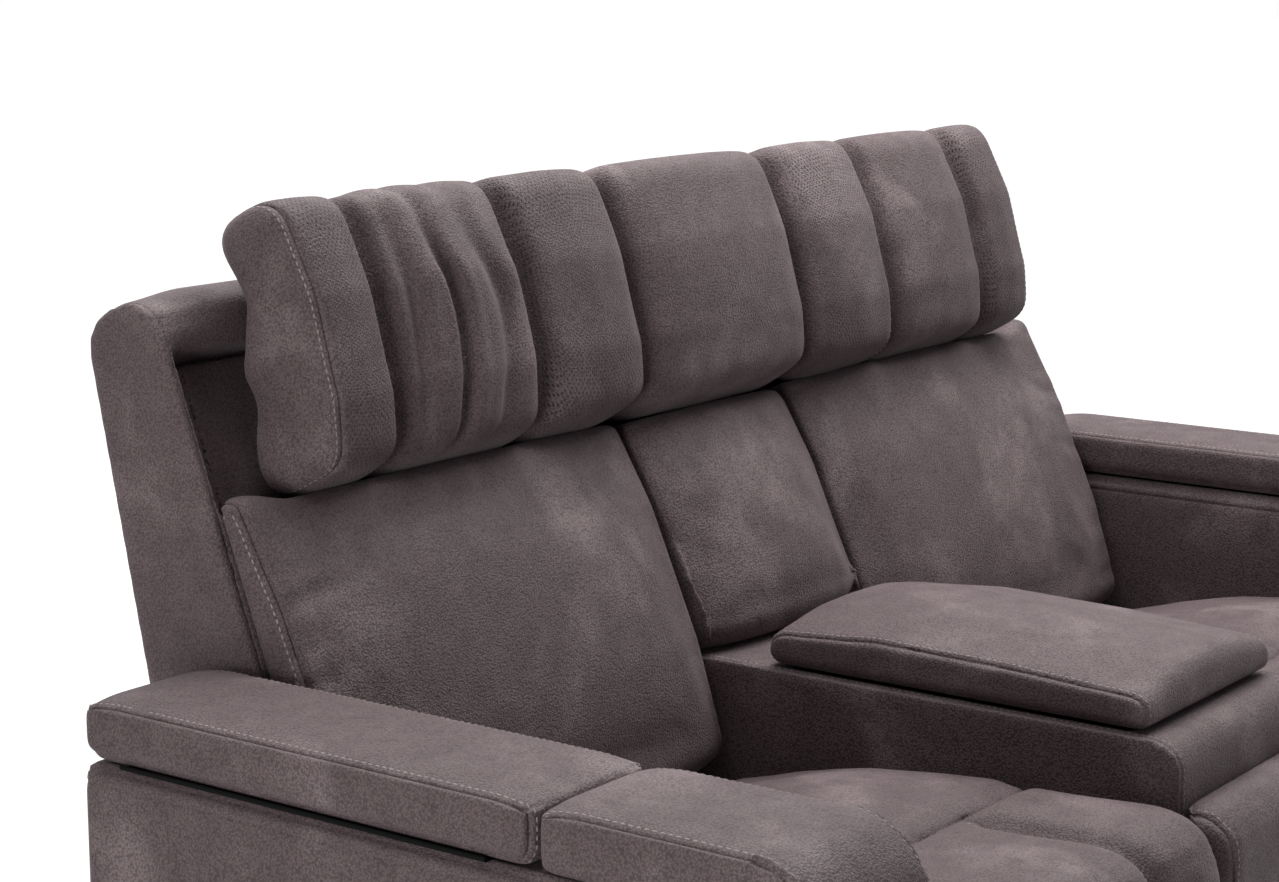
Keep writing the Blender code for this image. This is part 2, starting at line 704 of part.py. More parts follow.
def shell_outline(front):
    """Side outline of a back, with its face drawn back to the recess or out to the wing."""
    roll = SHELL_TOP - ROLL_HEIGHT
    corners = [
        (SHELL_FOOT, -BEVEL_FOOT_DEPTH, 0),
        (BEVEL_TOP_V, RECESS_FACE, 0),
        (WING_FOOT, front, 0),
        (roll - ROLL_LIP, front, 0),
        (roll, WING_FACE, ROLL_FILLET if front == RECESS_FACE else WING_FILLET),
        (SHELL_TOP, WING_FACE, ROLL_RADIUS),
        (SHELL_TOP, WING_FACE - SHELL_TOP_DEPTH, ROLL_RADIUS),
        (SHELL_FOOT, rear_n(SHELL_FOOT), SHELL_EDGE),
    ]
    return [back(v, n) for v, n in rounded(corners)]


def back_shell(tag, side, hinge):
    """Covered back frame: raked slab with a thin wing at the arm and a rolled top rail."""
    recess = shell_outline(RECESS_FACE)
    wing = shell_outline(WING_FACE)
    ends = soft_stations(X_IN, X_OUT, SHELL_EDGE, steps=2)
    stations = ends[:3] + [(X_WING, 0.0), (X_WING + WING_STEP, 0.0)] + ends[3:]
    shell = loft(tag + "_back_shell", stations, lambda x: recess if x <= X_WING else wing,
                 LEATHER, hinge, side, 40)
    pocket_points = [back(v, n) for v, n in (
        (HEAD_PIVOT_HEIGHT, RECESS_FACE + SEAT_GAP),
        (HEAD_PIVOT_HEIGHT, RECESS_FACE - HEAD_POCKET_DEPTH),
        (HEAD_PIVOT_HEIGHT + HEAD_POCKET_HEIGHT, RECESS_FACE - HEAD_POCKET_DEPTH),
        (HEAD_PIVOT_HEIGHT + HEAD_POCKET_HEIGHT, RECESS_FACE + SEAT_GAP),
    )]
    half = HEAD_ARM_WIDTH / 2 + HEAD_ARM_CLEAR
    middle = (HEAD_LO + HEAD_HI) / 2
    span = (middle - half, middle + half)
    cut(shell, prism("pocket_in_" + tag + "_back", pocket_points, *span, None, None, side))
    return shell


def back_panel(tag, side, hinge):
    """Padded panel in the recess behind the headrest, slotted for the headrest arm."""
    foot = PAD_TOP + PANEL_TOP_GAP
    near = RECESS_FACE + SEAT_GAP
    corners = [(foot, near, 0), (PANEL_TOP, near, 0),
               (PANEL_TOP, near + PANEL_THICK, PANEL_EDGE), (foot, near + PANEL_THICK, PANEL_EDGE)]
    outline = [back(v, n) for v, n in rounded(corners, 2)]
    stations = soft_stations(X_IN + PAD_SIDE_GAP, X_WING - PANEL_GAP, PANEL_EDGE, steps=2)
    panel = loft(tag + "_back_panel", stations, lambda x: outline, LEATHER, hinge, side)
    half = HEAD_ARM_WIDTH / 2 + HEAD_ARM_CLEAR
    middle = (HEAD_LO + HEAD_HI) / 2
    reach = HEAD_ARM_RADIUS + HEAD_ARM_THICK / 2 + HEAD_ARM_CLEAR
    depth = HEAD_PIVOT_DEPTH - (near + PANEL_THICK)
    top = HEAD_PIVOT_HEIGHT + math.sqrt(reach ** 2 - depth ** 2)
    reach = HEAD_ARM_RADIUS - HEAD_ARM_THICK / 2 - HEAD_ARM_CLEAR
    depth = HEAD_PIVOT_DEPTH - near
    low = HEAD_PIVOT_HEIGHT + math.sqrt(reach ** 2 - depth ** 2)
    slot = [back(v, n) for v, n in ((low, near - PANEL_THICK), (top, near - PANEL_THICK),
                                    (top, near + 2 * PANEL_THICK), (low, near + 2 * PANEL_THICK))]
    cut(panel, prism("slot_in_" + tag + "_panel", slot, middle - half, middle + half, None, None, side))
    return panel


def pad_outline(foot, bulge, rear):
    """Side outline of a lower back pad; foot gives the height of its lower edge at depth n."""
    near = rear + SEAT_GAP
    face = PAD_FACE + bulge
    corners = [
        (foot(near), near, 0),
        (PAD_TOP, near, 0),
        (PAD_TOP, face - PAD_LEAN, PAD_TOP_ROLL),
        (PAD_TOP - PAD_SHOULDER, face, 0),
        (PAD_TOP - PAD_LUMBAR, face + PAD_SWELL, 0),
        (foot(face), face, PAD_FOOT_ROLL),
    ]
    return [back(v, n) for v, n in rounded(corners, 4)]


def back_pad(tag, side, hinge):
    """Stuffed lower back pad, crowned across and drawn in at its sides."""
    lo = X_IN + PAD_SIDE_GAP
    hi = X_OUT - PAD_SIDE_GAP
    step = X_WING - PAD_SIDE_GAP

    def outline(x):
        rear = RECESS_FACE if x < step else WING_FACE
        return pad_outline(lambda n: PAD_FOOT, PAD_CROWN * crown(x, lo, hi), rear)

    mids = [lo + (hi - lo) * share for share in PAD_SHARES]
    mids += [step - PAD_SIDE_GAP / 2, step]
    return loft(tag + "_back_pad", soft_stations(lo, hi, PAD_EDGE, mids), outline, LEATHER, hinge, side)


def head_outline(bulge, seam, rear):
    """Bean-shaped side outline of a headrest: waisted behind, crowned in front."""
    face = HEAD_FACE + bulge - seam
    corners = [
        (HEAD_FOOT, rear, HEAD_REAR_ROLL),
        (HEAD_PLATE_TOP, rear, 0),
        (SHELL_TOP - ROLL_HEIGHT, HEAD_WAIST, 0),
        (HEAD_TOP, HEAD_WAIST, HEAD_TOP_ROLL),
        (HEAD_TOP, face + HEAD_LEAN - HEAD_TOP_DROP, HEAD_FRONT_ROLL),
        (HEAD_TOP - HEAD_BROW, face + HEAD_LEAN, 0),
        (HEAD_FOOT + HEAD_CHIN, face, 0),
        (HEAD_FOOT + HEAD_TOP_DROP, face - HEAD_TUCK, HEAD_TOP_ROLL),
        (HEAD_FOOT, HEAD_REAR + HEAD_SOLE, 0),
    ]
    return [back(v, n) for v, n in rounded(corners)]


def headrest_pad(tag, side, hinge):
    """Headrest of three stuffed channels with a sewn valley between them."""
    seams = (HEAD_LO + HEAD_SEAM_INNER, HEAD_HI - HEAD_SEAM_OUTER)
    edges = (HEAD_LO, *seams, HEAD_HI)

    def outline(x):
        for lo, hi in zip(edges, edges[1:]):
            if lo <= x <= hi:
                puff = HEAD_CROWN * crown(x, lo, hi) ** 0.6
        valley = max(math.exp(-((x - seam) / HEAD_SEAM_WIDTH) ** 2) for seam in seams)
        return head_outline(puff, HEAD_SEAM_DEPTH * valley, HEAD_REAR)

    mids = []
    for i, (lo, hi) in enumerate(zip(edges, edges[1:])):
        span = hi - lo
        if i:
            mids += [lo, lo + SEAM_REACH]
        mids += [lo + span * share for share in ((0.25, 0.5, 0.75) if i == 1 else (0.5,))]
        if i < 2:
            mids.append(hi - SEAM_REACH)
    return loft(tag + "_headrest_pad", soft_stations(HEAD_LO, HEAD_HI, HEAD_EDGE, mids), outline,
                LEATHER, hinge, side)


def headrest_bracket(tag, side, hinge):
    """Plate on the rear of the headrest with a curved arm that slides through the back panel."""
    middle = (HEAD_LO + HEAD_HI) / 2
    far = HEAD_REAR - SEAT_GAP
    plate_points = [back(v, n) for v, n in (
        (HEAD_PLATE_FOOT, far - HEAD_PLATE_THICK), (HEAD_PLATE_TOP, far - HEAD_PLATE_THICK),
        (HEAD_PLATE_TOP, far), (HEAD_PLATE_FOOT, far))]
    plate = prism(tag + "_headrest_bracket", plate_points, middle - HEAD_PLATE_WIDTH / 2,
                  middle + HEAD_PLATE_WIDTH / 2, STEEL, hinge, side)
    start = math.asin((far - HEAD_PLATE_THICK / 2 - HEAD_PIVOT_DEPTH) / HEAD_ARM_RADIUS)
    points = []
    steps = 6
    for radius, order in ((HEAD_ARM_RADIUS - HEAD_ARM_THICK / 2, range(steps + 1)),
                          (HEAD_ARM_RADIUS + HEAD_ARM_THICK / 2, range(steps, -1, -1))):
        for k in order:
            turn = start - HEAD_ARM_SWEEP * k / steps
            up = HEAD_PIVOT_HEIGHT + radius * math.cos(turn)
            points.append(back(up, HEAD_PIVOT_DEPTH + radius * math.sin(turn)))
    half = HEAD_ARM_WIDTH / 2
    weld(plate, prism(tag + "_headrest_arm", points, middle - half, middle + half, None, None, side))
    return plate


def back_bracket(tag, side, hinge):
    """Bar along the foot of the back with an ear and a pivot pin at each side plate."""
    foot = Vector(back(SHELL_FOOT, -BEVEL_FOOT_DEPTH))
    top = Vector(back(BEVEL_TOP_V, RECESS_FACE))
    along = (top - foot).normalized()
    outward = Vector((-along.y, along.x))
    pivot = Vector((PIVOT_Y, PIVOT_Z))
    seat = foot + along * (pivot - foot).dot(along) + outward * SEAT_GAP
    near = seat + outward * BRACKET_THICK
    lo = X_IN + PLATE_INSET + PLATE_THICK + LAYER_GAP
    hi = X_OUT - PLATE_INSET - PLATE_THICK - LAYER_GAP
    bar_points = [tuple(p) for p in (seat - along * BRACKET_SPREAD, seat + along * BRACKET_SPREAD,
                                     near + along * BRACKET_SPREAD, near - along * BRACKET_SPREAD)]
    inset = BRACKET_THICK / 2
    bar = prism(tag + "_back_bracket", bar_points, lo + inset, hi - inset, STEEL, hinge, side)
    heading = math.atan2(outward.y, outward.x)
    ear = [tuple(seat + outward * BRACKET_THICK / 2 + along * BRACKET_SPREAD * 0.9)]
    for k in range(7):
        turn = heading - math.pi / 2 + math.pi * k / 6
        ear.append((PIVOT_Y + LUG_RADIUS * math.cos(turn), PIVOT_Z + LUG_RADIUS * math.sin(turn)))
    ear.append(tuple(seat + outward * BRACKET_THICK / 2 - along * BRACKET_SPREAD * 0.9))
    for x0, x1, pin in ((lo, lo + BRACKET_THICK, lo - LAYER_GAP - PLATE_THICK - PIN_HEAD),
                        (hi - BRACKET_THICK, hi, hi + LAYER_GAP + PLATE_THICK + PIN_HEAD)):
        weld(bar, prism(tag + "_back_ear", ear, x0, x1, None, None, side))
        ends = sorted((side * pin, side * (x0 + x1) / 2))
        weld(bar, rod(tag + "_back_pin", *ends, PIVOT_Y, PIVOT_Z, PIN_RADIUS, None))
    return bar


def side_plate(tag, side, place):
    """Pressed steel side plate that carries the seat, the links and the back pivot."""
    lo = X_IN + PLATE_INSET if place == "inner" else X_OUT - PLATE_INSET - PLATE_THICK
    outline = rounded([
        (FRONT_RAIL_Y - RAIL_WIDTH / 2, RAIL_TOP + SEAT_GAP, PLATE_LIP),
        (REAR_RAIL_Y + RAIL_WIDTH / 2, RAIL_TOP + SEAT_GAP, PLATE_LIP),
        (REAR_RAIL_Y + RAIL_WIDTH / 2, RAIL_TOP + PLATE_FOOT_RISE, PLATE_CORNER / 2),
        (PIVOT_Y - LUG_RADIUS, RAIL_TOP + PLATE_FOOT_RISE + PLATE_CORNER / 2, PLATE_CORNER),
        (PIVOT_Y - LUG_RADIUS, PIVOT_Z - PLATE_NECK, PLATE_CORNER),
        (PIVOT_Y + PLATE_EAR, PIVOT_Z - LUG_RADIUS, PLATE_CORNER / 2),
        (PIVOT_Y + PLATE_EAR, PIVOT_Z + PLATE_EAR, PLATE_CORNER - PLATE_LIP),
        (PIVOT_Y - PLATE_EAR, PIVOT_Z + PLATE_EAR, PLATE_CORNER / 2),
        (PIVOT_Y - 3 * PLATE_EAR, DECK_TOP - PLATE_LIP, PLATE_CORNER / 2),
        (LINK_Y - PLATE_NOSE, DECK_TOP - PLATE_LIP, PLATE_CORNER),
        (LINK_Y - PLATE_NOSE, LINK_Z - PLATE_NOSE, PLATE_CORNER),
        (FRONT_RAIL_Y - RAIL_WIDTH / 2, LINK_Z - PLATE_SKIRT, PLATE_CORNER),
    ], 2)
    plate = prism(tag + "_" + place + "_side_plate", outline, lo, lo + PLATE_THICK, STEEL, ROOT, side)
    ends = sorted((side * (lo - PLATE_THICK), side * (lo + 2 * PLATE_THICK)))
    for y, z in ((LINK_Y, LINK_Z), (PIVOT_Y, PIVOT_Z)):
        drill(plate, *ends, y, z, PIN_RADIUS + PIN_CLEAR)
    span = (PIVOT_Y - WINDOW_WEB - FRONT_RAIL_Y) / WINDOW_COUNT
    low = RAIL_TOP + WINDOW_RISE
    high = LINK_Z - PLATE_NOSE
    for k in range(WINDOW_COUNT):
        start = FRONT_RAIL_Y + span * k + WINDOW_WEB / 2
        end = start + span - WINDOW_WEB
        slot = rounded([(start, low, PLATE_CORNER), (end, low, PLATE_CORNER),
                        (end, high, PLATE_CORNER), (start, high, PLATE_CORNER)], 2)
        through = (lo - PLATE_THICK, lo + 2 * PLATE_THICK)
        cut(plate, prism("slot_in_" + plate.name, slot, *through, None, None, side))
    return plate


def plate_faces():
    """Inner faces of the two side plates, as distances from the middle of the loveseat."""
    return X_IN + PLATE_INSET + PLATE_THICK, X_OUT - PLATE_INSET - PLATE_THICK


def layer(number):
    """X ranges of a linkage layer inside the near and far side plates."""
    lo, hi = plate_faces()
    run = number * (LAYER_GAP + PLATE_THICK)
    return (lo + run - PLATE_THICK, lo + run), (hi - run, hi - run + PLATE_THICK)


def rear_links(tag, side, hinge):
    """Torque tube with the rear link at each end, its knee pins and the crank in its middle."""
    lo, hi = plate_faces()
    reach = PLATE_THICK + PIN_HEAD
    ends = sorted((side * (lo - reach), side * (hi + reach)))
    tube = rod(tag + "_rear_links", *ends, LINK_Y, LINK_Z, PIN_RADIUS, STEEL, hinge)
    points = capsule(LINK_Y, LINK_Z, KNEE_Y, KNEE_Z, LUG_RADIUS)
    inner = layer(1)
    outer = layer(2)
    for k in range(2):
        weld(tube, prism(tag + "_rear_link", points, *inner[k], None, None, side))
        middle = sum(inner[k]) / 2
        tip = outer[k][1] + PIN_HEAD if k == 0 else outer[k][0] - PIN_HEAD
        span = sorted((side * middle, side * tip))
        weld(tube, rod(tag + "_knee_pin", *span, KNEE_Y, KNEE_Z, PIN_RADIUS, None))
    crank = capsule(LINK_Y, LINK_Z, CRANK_Y, CRANK_Z, LUG_RADIUS * 0.8)
    span = (X_MID - CRANK_THICK / 2, X_MID + CRANK_THICK / 2)
    weld(tube, prism(tag + "_crank", crank, *span, None, None, side))
    return tube


def front_links(tag, side, hinge):
    """Toe tube with the front link at each end; the footrest turns on the tube."""
    outer = layer(2)
    ends = sorted((side * outer[0][0], side * outer[1][1]))
    tube = rod(tag + "_front_links", *ends, TOE_Y, TOE_Z, PIN_RADIUS, STEEL, hinge)
    points = capsule(KNEE_Y, KNEE_Z, TOE_Y, TOE_Z, LUG_RADIUS)
    for lo, hi in outer:
        weld(tube, prism(tag + "_front_link", points, lo, hi, None, None, side))
    for lo, hi in outer:
        drill(tube, *sorted((side * (lo - PLATE_THICK), side * (hi + PLATE_THICK))), KNEE_Y, KNEE_Z,
              PIN_RADIUS + PIN_CLEAR)
    return tube


def footrest_board(tag, side, hinge):
    """Footrest panel with a steel lug at each end that turns on the toe tube."""
    lugs = layer(3)
    front = BOARD_REAR - BOARD_THICK
    top = TOE_Z + BOARD_ABOVE
    ends = sorted((side * (lugs[0][0] + LAYER_GAP), side * (lugs[1][1] - LAYER_GAP)))
    board = box(tag + "_footrest_board", (ends[0], front, top - BOARD_HEIGHT), (ends[1], BOARD_REAR, top),
                WOOD, hinge, BOARD_EDGE)
    inside = BOARD_REAR - BOARD_THICK / 2
    nose = half_round(TOE_Y, TOE_Z, LUG_RADIUS)
    lug_points = [(inside, TOE_Z - LUG_RADIUS), *nose, (inside, TOE_Z + LUG_RADIUS)]
    for lo, hi in lugs:
        weld(board, prism(tag + "_footrest_lug", lug_points, lo, hi, None, None, side))
    for lo, hi in lugs:
        drill(board, *sorted((side * (lo - LAYER_GAP / 2), side * (hi + LAYER_GAP / 2))), TOE_Y, TOE_Z,
              PIN_RADIUS + PIN_CLEAR)
    return board


def footrest_pad(tag, side, hinge):
    """Crowned footrest pad on the board, just under the seat front when closed."""
    near = BOARD_REAR - BOARD_THICK - SEAT_GAP
    top = SEAT_BOTTOM - FOOTREST_GAP
    lo = X_IN + PAD_SIDE_GAP
    hi = X_OUT - PAD_SIDE_GAP

    def outline(x):
        face = near - FOOTREST_PAD_THICK + FOOTREST_CROWN * (1 - crown(x, lo, hi) ** 0.6)
        return rounded([
            (near, top - FOOTREST_PAD_HEIGHT, 0),
            (near, top, 0),
            (face, top, FOOTREST_ROLL),
            (face, top - FOOTREST_PAD_HEIGHT, FOOTREST_ROLL),
        ])

    mids = [lo + (hi - lo) * share for share in FOOTREST_SHARES]
    stations = soft_stations(lo, hi, FOOTREST_EDGE, mids)
    return loft(tag + "_footrest_pad", stations, outline, LEATHER, hinge, side)


def seat_rear():
    """Rear end of the seat cushion, just in front of the foot of the back pad."""
    return back(PAD_FOOT, PAD_FACE)[0] - SEAT_BACK_GAP


def seat_deck(tag, side):
    """Wooden seat frame with elastic straps across it."""
    lo, hi = plate_faces()
    front = SEAT_FRONT + DECK_OVERHANG
    rear = seat_rear()
    ends = sorted((side * (lo + SEAT_GAP), side * (hi - SEAT_GAP)))
    deck = box(tag + "_seat_deck", (ends[0], front, DECK_BOTTOM), (ends[1], rear, DECK_TOP), WOOD, ROOT)
    hole = box("hole_in_" + deck.name, (ends[0] + DECK_RAIL, front + DECK_RAIL, DECK_BOTTOM - DECK_RAIL),
               (ends[1] - DECK_RAIL, rear - DECK_RAIL, DECK_TOP + DECK_RAIL), None)
    cut(deck, hole)
    pitch = (ends[1] - ends[0] - 2 * DECK_RAIL) / DECK_STRAPS
    for k in range(DECK_STRAPS):
        x = ends[0] + DECK_RAIL + pitch * (k + 0.5)
        low = (x - STRAP_WIDTH / 2, front + DECK_RAIL / 2, DECK_TOP - 2 * STRAP_THICK)
        high = (x + STRAP_WIDTH / 2, rear - DECK_RAIL / 2, DECK_TOP - STRAP_THICK)
        weld(deck, box(tag + "_seat_strap", low, high, None))
    return deck


def seat_cushion(tag, side):
    """Seat with a crosswise seam, two front-to-back seams and a rolled front."""
    lo = X_IN + PAD_SIDE_GAP
    hi = X_OUT - PAD_SIDE_GAP
    seams = (X_IN + SEAT_SEAM_INSET, X_OUT - SEAT_SEAM_INSET)
    edges = (lo, *seams, hi)
    rear = seat_rear()

    def top(y):
        return SEAT_HEIGHT - SEAT_DROP * ((y - SEAT_HIGH_Y) / (rear - SEAT_HIGH_Y)) ** 2

    def outline(x):
        for a, b in zip(edges, edges[1:]):
            if a <= x <= b:
                panel = SEAT_CROWN * crown(x, a, b) ** 0.6
        whole = SEAT_CROWN * crown(x, lo, hi) ** 0.6
        fade = min(1.0, (x - lo) / SEAT_EDGE, (hi - x) / SEAT_EDGE)
        valley = SEAT_SEAM_DEPTH * max(math.exp(-((x - seam) / SEAT_SEAM_WIDTH) ** 2) for seam in seams)
        points = [(rear, SEAT_BOTTOM), (rear, top(rear) - SEAT_TUCK)]
        points.append((rear - SEAT_TUCK / 3, top(rear) + whole / 3))
        for share in (0.25, 0.5, 0.75, 0.93):
            y = rear + (SEAT_CROSS_Y - rear) * share
            points.append((y, top(y) + whole))
        points.append((SEAT_CROSS_Y, top(SEAT_CROSS_Y) + whole * 0.5 - SEAT_SEAM_DEPTH * fade))
        start = SEAT_FRONT + SEAT_ROLL
        for y in (SEAT_CROSS_Y - SEAM_REACH, (SEAT_CROSS_Y + start) / 2):
            points.append((y, top(y) + panel - valley))
        for k in range(5):
            turn = math.radians(90 + 90 * k / 4)
            grow = SEAT_ROLL + panel - valley
            points.append((start + grow * math.cos(turn), SEAT_HEIGHT - SEAT_ROLL + grow * math.sin(turn)))
        points.append((SEAT_FRONT + SEAT_NOSE / 5, SEAT_BOTTOM + SEAT_TUCK))
        points.append((SEAT_FRONT + SEAT_NOSE, SEAT_BOTTOM + SEAT_NOSE / 5))
        points.append((SEAT_FRONT + DECK_OVERHANG, SEAT_BOTTOM))
        return points

    mids = []
    for i, (a, b) in enumerate(zip(edges, edges[1:])):
        if i:
            mids += [a, a + SEAM_REACH]
        mids += [a + (b - a) * share for share in ((0.3, 0.5, 0.7) if i == 1 else (0.5,))]
        if i < 2:
            mids.append(b - SEAM_REACH)
    return loft(tag + "_seat_cushion", soft_stations(lo, hi, SEAT_EDGE, mids), outline, LEATHER, ROOT, side)


def actuator_motor(tag, side):
    """Gearbox, motor and guide tube of the recline drive, bolted to the rear rail."""
    front = CRANK_Y + FORK_LENGTH + ROD_SHOWN
    rear = front + TUBE_LENGTH
    half = TUBE_SIZE / 2
    centre = side * X_MID
    z = CRANK_Z
    tube = box(tag + "_actuator_motor", (centre - half, front, z - half), (centre + half, rear, z + half),
               PLASTIC, ROOT, HOUSING_EDGE)
    big = GEARBOX_SIZE / 2
    weld(tube, box(tag + "_gearbox", (centre - big, rear - GEARBOX_LAP, z - big),
                   (centre + big, rear + GEARBOX_LENGTH, z + big), None, None, HOUSING_EDGE))
    ends = sorted((centre, centre + side * MOTOR_LENGTH))
    weld(tube, rod(tag + "_motor", *ends, rear + GEARBOX_LENGTH / 2, z, MOTOR_RADIUS, None))
    back_end = rear + GEARBOX_LENGTH
    mount = rounded([
        (back_end - HOUSING_EDGE - MOUNT_DEPTH, z, 0),
        (back_end - HOUSING_EDGE - MOUNT_DEPTH, RAIL_TOP + 2 * MOUNT_FOOT, 0),
        (REAR_RAIL_Y - RAIL_WIDTH / 2, RAIL_TOP + SEAT_GAP, 0),
        (REAR_RAIL_Y + RAIL_WIDTH / 2, RAIL_TOP + SEAT_GAP, 0),
        (REAR_RAIL_Y + RAIL_WIDTH / 2, RAIL_TOP + MOUNT_FOOT, MOUNT_FOOT / 2),
        (REAR_RAIL_Y - RAIL_WIDTH / 2, RAIL_TOP + 1.5 * MOUNT_FOOT, 0),
        (back_end - HOUSING_EDGE, z, 0),
    ], 2)
    weld(tube, prism(tag + "_actuator_mount", mount, X_MID - MOUNT_WIDTH / 2, X_MID + MOUNT_WIDTH / 2,
                     None, None, side))
    cut(tube, spindle("bore_in_" + tube.name, centre, front - BORE_END, front + ROD_ENGAGE + BORE_END, z,
                      ROD_RADIUS + ROD_CLEAR, None))
    return tube


def actuator_rod(tag, side, hinge):
    """Drive rod that runs in the guide tube, with a fork astride the crank."""
    centre = side * X_MID
    front = CRANK_Y + FORK_LENGTH + ROD_SHOWN
    rear = front + ROD_ENGAGE
    z = CRANK_Z
    start = CRANK_Y + FORK_LENGTH
    bar = spindle(tag + "_actuator_rod", centre, start, rear, z, ROD_RADIUS, ZINC, hinge)
    inner = CRANK_THICK / 2 + FORK_GAP
    outer = inner + FORK_THICK
    tip = CRANK_Y - ROD_RADIUS
    web = start - FORK_THICK
    fork = [(-outer, start + FORK_THICK), (-outer, tip), (-inner, tip), (-inner, web),
            (inner, web), (inner, tip), (outer, tip), (outer, start + FORK_THICK)]
    fork = [(centre + x, y) for x, y in fork]
    weld(bar, plan_prism(tag + "_fork", fork, z - FORK_HEIGHT / 2, z + FORK_HEIGHT / 2, None))
    return bar


def switch(tag, side, kind, z):
    """Dished rocker let into the inner face of the arm, pressed at either end."""
    x = side * X_ARM
    hinge = axis(tag + "_" + kind + "_switch_axis", (x, SWITCH_Y, z), ROOT)
    half = SWITCH_LENGTH / 2
    proud = x - side * SWITCH_PROUD
    deep = x + side * SWITCH_BODY
    points = [(deep, SWITCH_Y - half + SWITCH_DRAFT), (deep, SWITCH_Y + half - SWITCH_DRAFT),
              (x, SWITCH_Y + half), (proud, SWITCH_Y + half - SWITCH_LIP),
              (proud + side * SWITCH_DISH, SWITCH_Y),
              (proud, SWITCH_Y - half + SWITCH_LIP), (x, SWITCH_Y - half)]
    return plan_prism(tag + "_" + kind + "_switch", points, z - SWITCH_WIDTH / 2, z + SWITCH_WIDTH / 2,
                      PLASTIC, hinge)


def foot(name, x, y):
    """Turned foot, wider where it is screwed to the frame."""
    bm = bmesh.new()
    height = FOOT_HEIGHT - SEAT_GAP
    bmesh.ops.create_cone(bm, cap_ends=True, segments=20, radius1=FOOT_TIP_RADIUS, radius2=FOOT_TOP_RADIUS,
                          depth=height, matrix=Matrix.Translation((x, y, height / 2)))
    return to_object(name, bm, PLASTIC, ROOT, 40)


def base():
    """Two steel rails tie the arms and the console together; six feet carry them."""
    for name, y in (("front_rail", FRONT_RAIL_Y), ("rear_rail", REAR_RAIL_Y)):
        box(name, (-X_ARM + SEAT_GAP, y - RAIL_WIDTH / 2, FOOT_HEIGHT + RAIL_LIFT),
            (X_ARM - SEAT_GAP, y + RAIL_WIDTH / 2, RAIL_TOP), STEEL, ROOT, RAIL_EDGE)
    for tag, side in (("left", -1), ("right", 1)):
        x = side * (X_ARM + ARM_WIDTH / 2)
        foot(tag + "_front_foot", x, ARM_FRONT + FOOT_INSET)
        foot(tag + "_rear_foot", x, ARM_REAR - FOOT_INSET)
    foot("console_front_foot", 0, CONSOLE_FRONT + FOOT_INSET - RAIL_WIDTH / 2)
    foot("console_rear_foot", 0, CONSOLE_REAR - FOOT_INSET)


def console_back():
    """Fixed back of the console: covered shell, lower pad and plain head pad."""
    roll = SHELL_TOP - ROLL_HEIGHT
    top_corners = [
        (roll - ROLL_LIP, RECESS_FACE, 0),
        (roll, WING_FACE, ROLL_FILLET),
        (SHELL_TOP, WING_FACE, ROLL_RADIUS),
        (SHELL_TOP, WING_FACE - SHELL_TOP_DEPTH, ROLL_RADIUS),
    ]
    corners = [(CONSOLE_SHELL_FRONT, RAIL_TOP + SEAT_GAP, 0)]
    knee_v = (CONSOLE_TOP - PIVOT_Z - RECESS_FACE * math.sin(RAKE)) / math.cos(RAKE)
    corners.append((*back(knee_v, RECESS_FACE), 0))
    corners += [(*back(v, n), radius) for v, n, radius in top_corners]
    corners.append((*back(CONSOLE_SHELL_KNEE, rear_n(CONSOLE_SHELL_KNEE)), 0))
    corners.append((CONSOLE_SHELL_REAR, RAIL_TOP + SEAT_GAP, 0))
    outline = rounded(corners)
    stations = soft_stations(-X_CONSOLE, X_CONSOLE, SHELL_EDGE, steps=2)
    loft("console_back_shell", stations, lambda x: outline, LEATHER, ROOT, 1, 40)

    lo = -X_CONSOLE
    hi = X_CONSOLE

    def foot_v(n):
        return (CONSOLE_TOP + SEAT_GAP - PIVOT_Z - n * math.sin(RAKE)) / math.cos(RAKE)

    mids = [lo + (hi - lo) * share for share in NARROW_SHARES]
    loft("console_back_pad", soft_stations(lo, hi, PAD_EDGE, mids),
         lambda x: pad_outline(foot_v, PAD_CROWN * crown(x, lo, hi), RECESS_FACE), LEATHER, ROOT)
    loft("console_head_pad", soft_stations(lo, hi, HEAD_EDGE, mids),
         lambda x: head_outline(HEAD_CROWN * crown(x, lo, hi) ** 0.6, 0.0, RECESS_FACE + SEAT_GAP),
         LEATHER, ROOT)


def seat_unit(tag, side):
    """One reclining seat: fixed seat and side plates, moving back, headrest and footrest."""
    middle = side * X_MID
    recline = axis(tag + "_recline_axis", (middle, PIVOT_Y, PIVOT_Z), ROOT)
    tilt = axis(tag + "_headrest_axis", (middle, *HEAD_PIVOT), recline)
    rear = axis(tag + "_rear_link_axis", (middle, LINK_Y, LINK_Z), ROOT)
    knee = axis(tag + "_front_link_axis", (middle, KNEE_Y, KNEE_Z), rear)
    toe = axis(tag + "_footrest_axis", (middle, TOE_Y, TOE_Z), knee)
    drive = axis(tag + "_actuator_axis", (middle, CRANK_Y, CRANK_Z), ROOT)
    side_plate(tag, side, "inner")
    side_plate(tag, side, "outer")
    seat_deck(tag, side)
    seat_cushion(tag, side)
    actuator_motor(tag, side)
    actuator_rod(tag, side, drive)
    rear_links(tag, side, rear)
    front_links(tag, side, knee)
    footrest_board(tag, side, toe)
    footrest_pad(tag, side, toe)
    back_shell(tag, side, recline)
    back_bracket(tag, side, recline)
    back_panel(tag, side, recline)
    back_pad(tag, side, recline)
    headrest_pad(tag, side, tilt)
    headrest_bracket(tag, side, tilt)


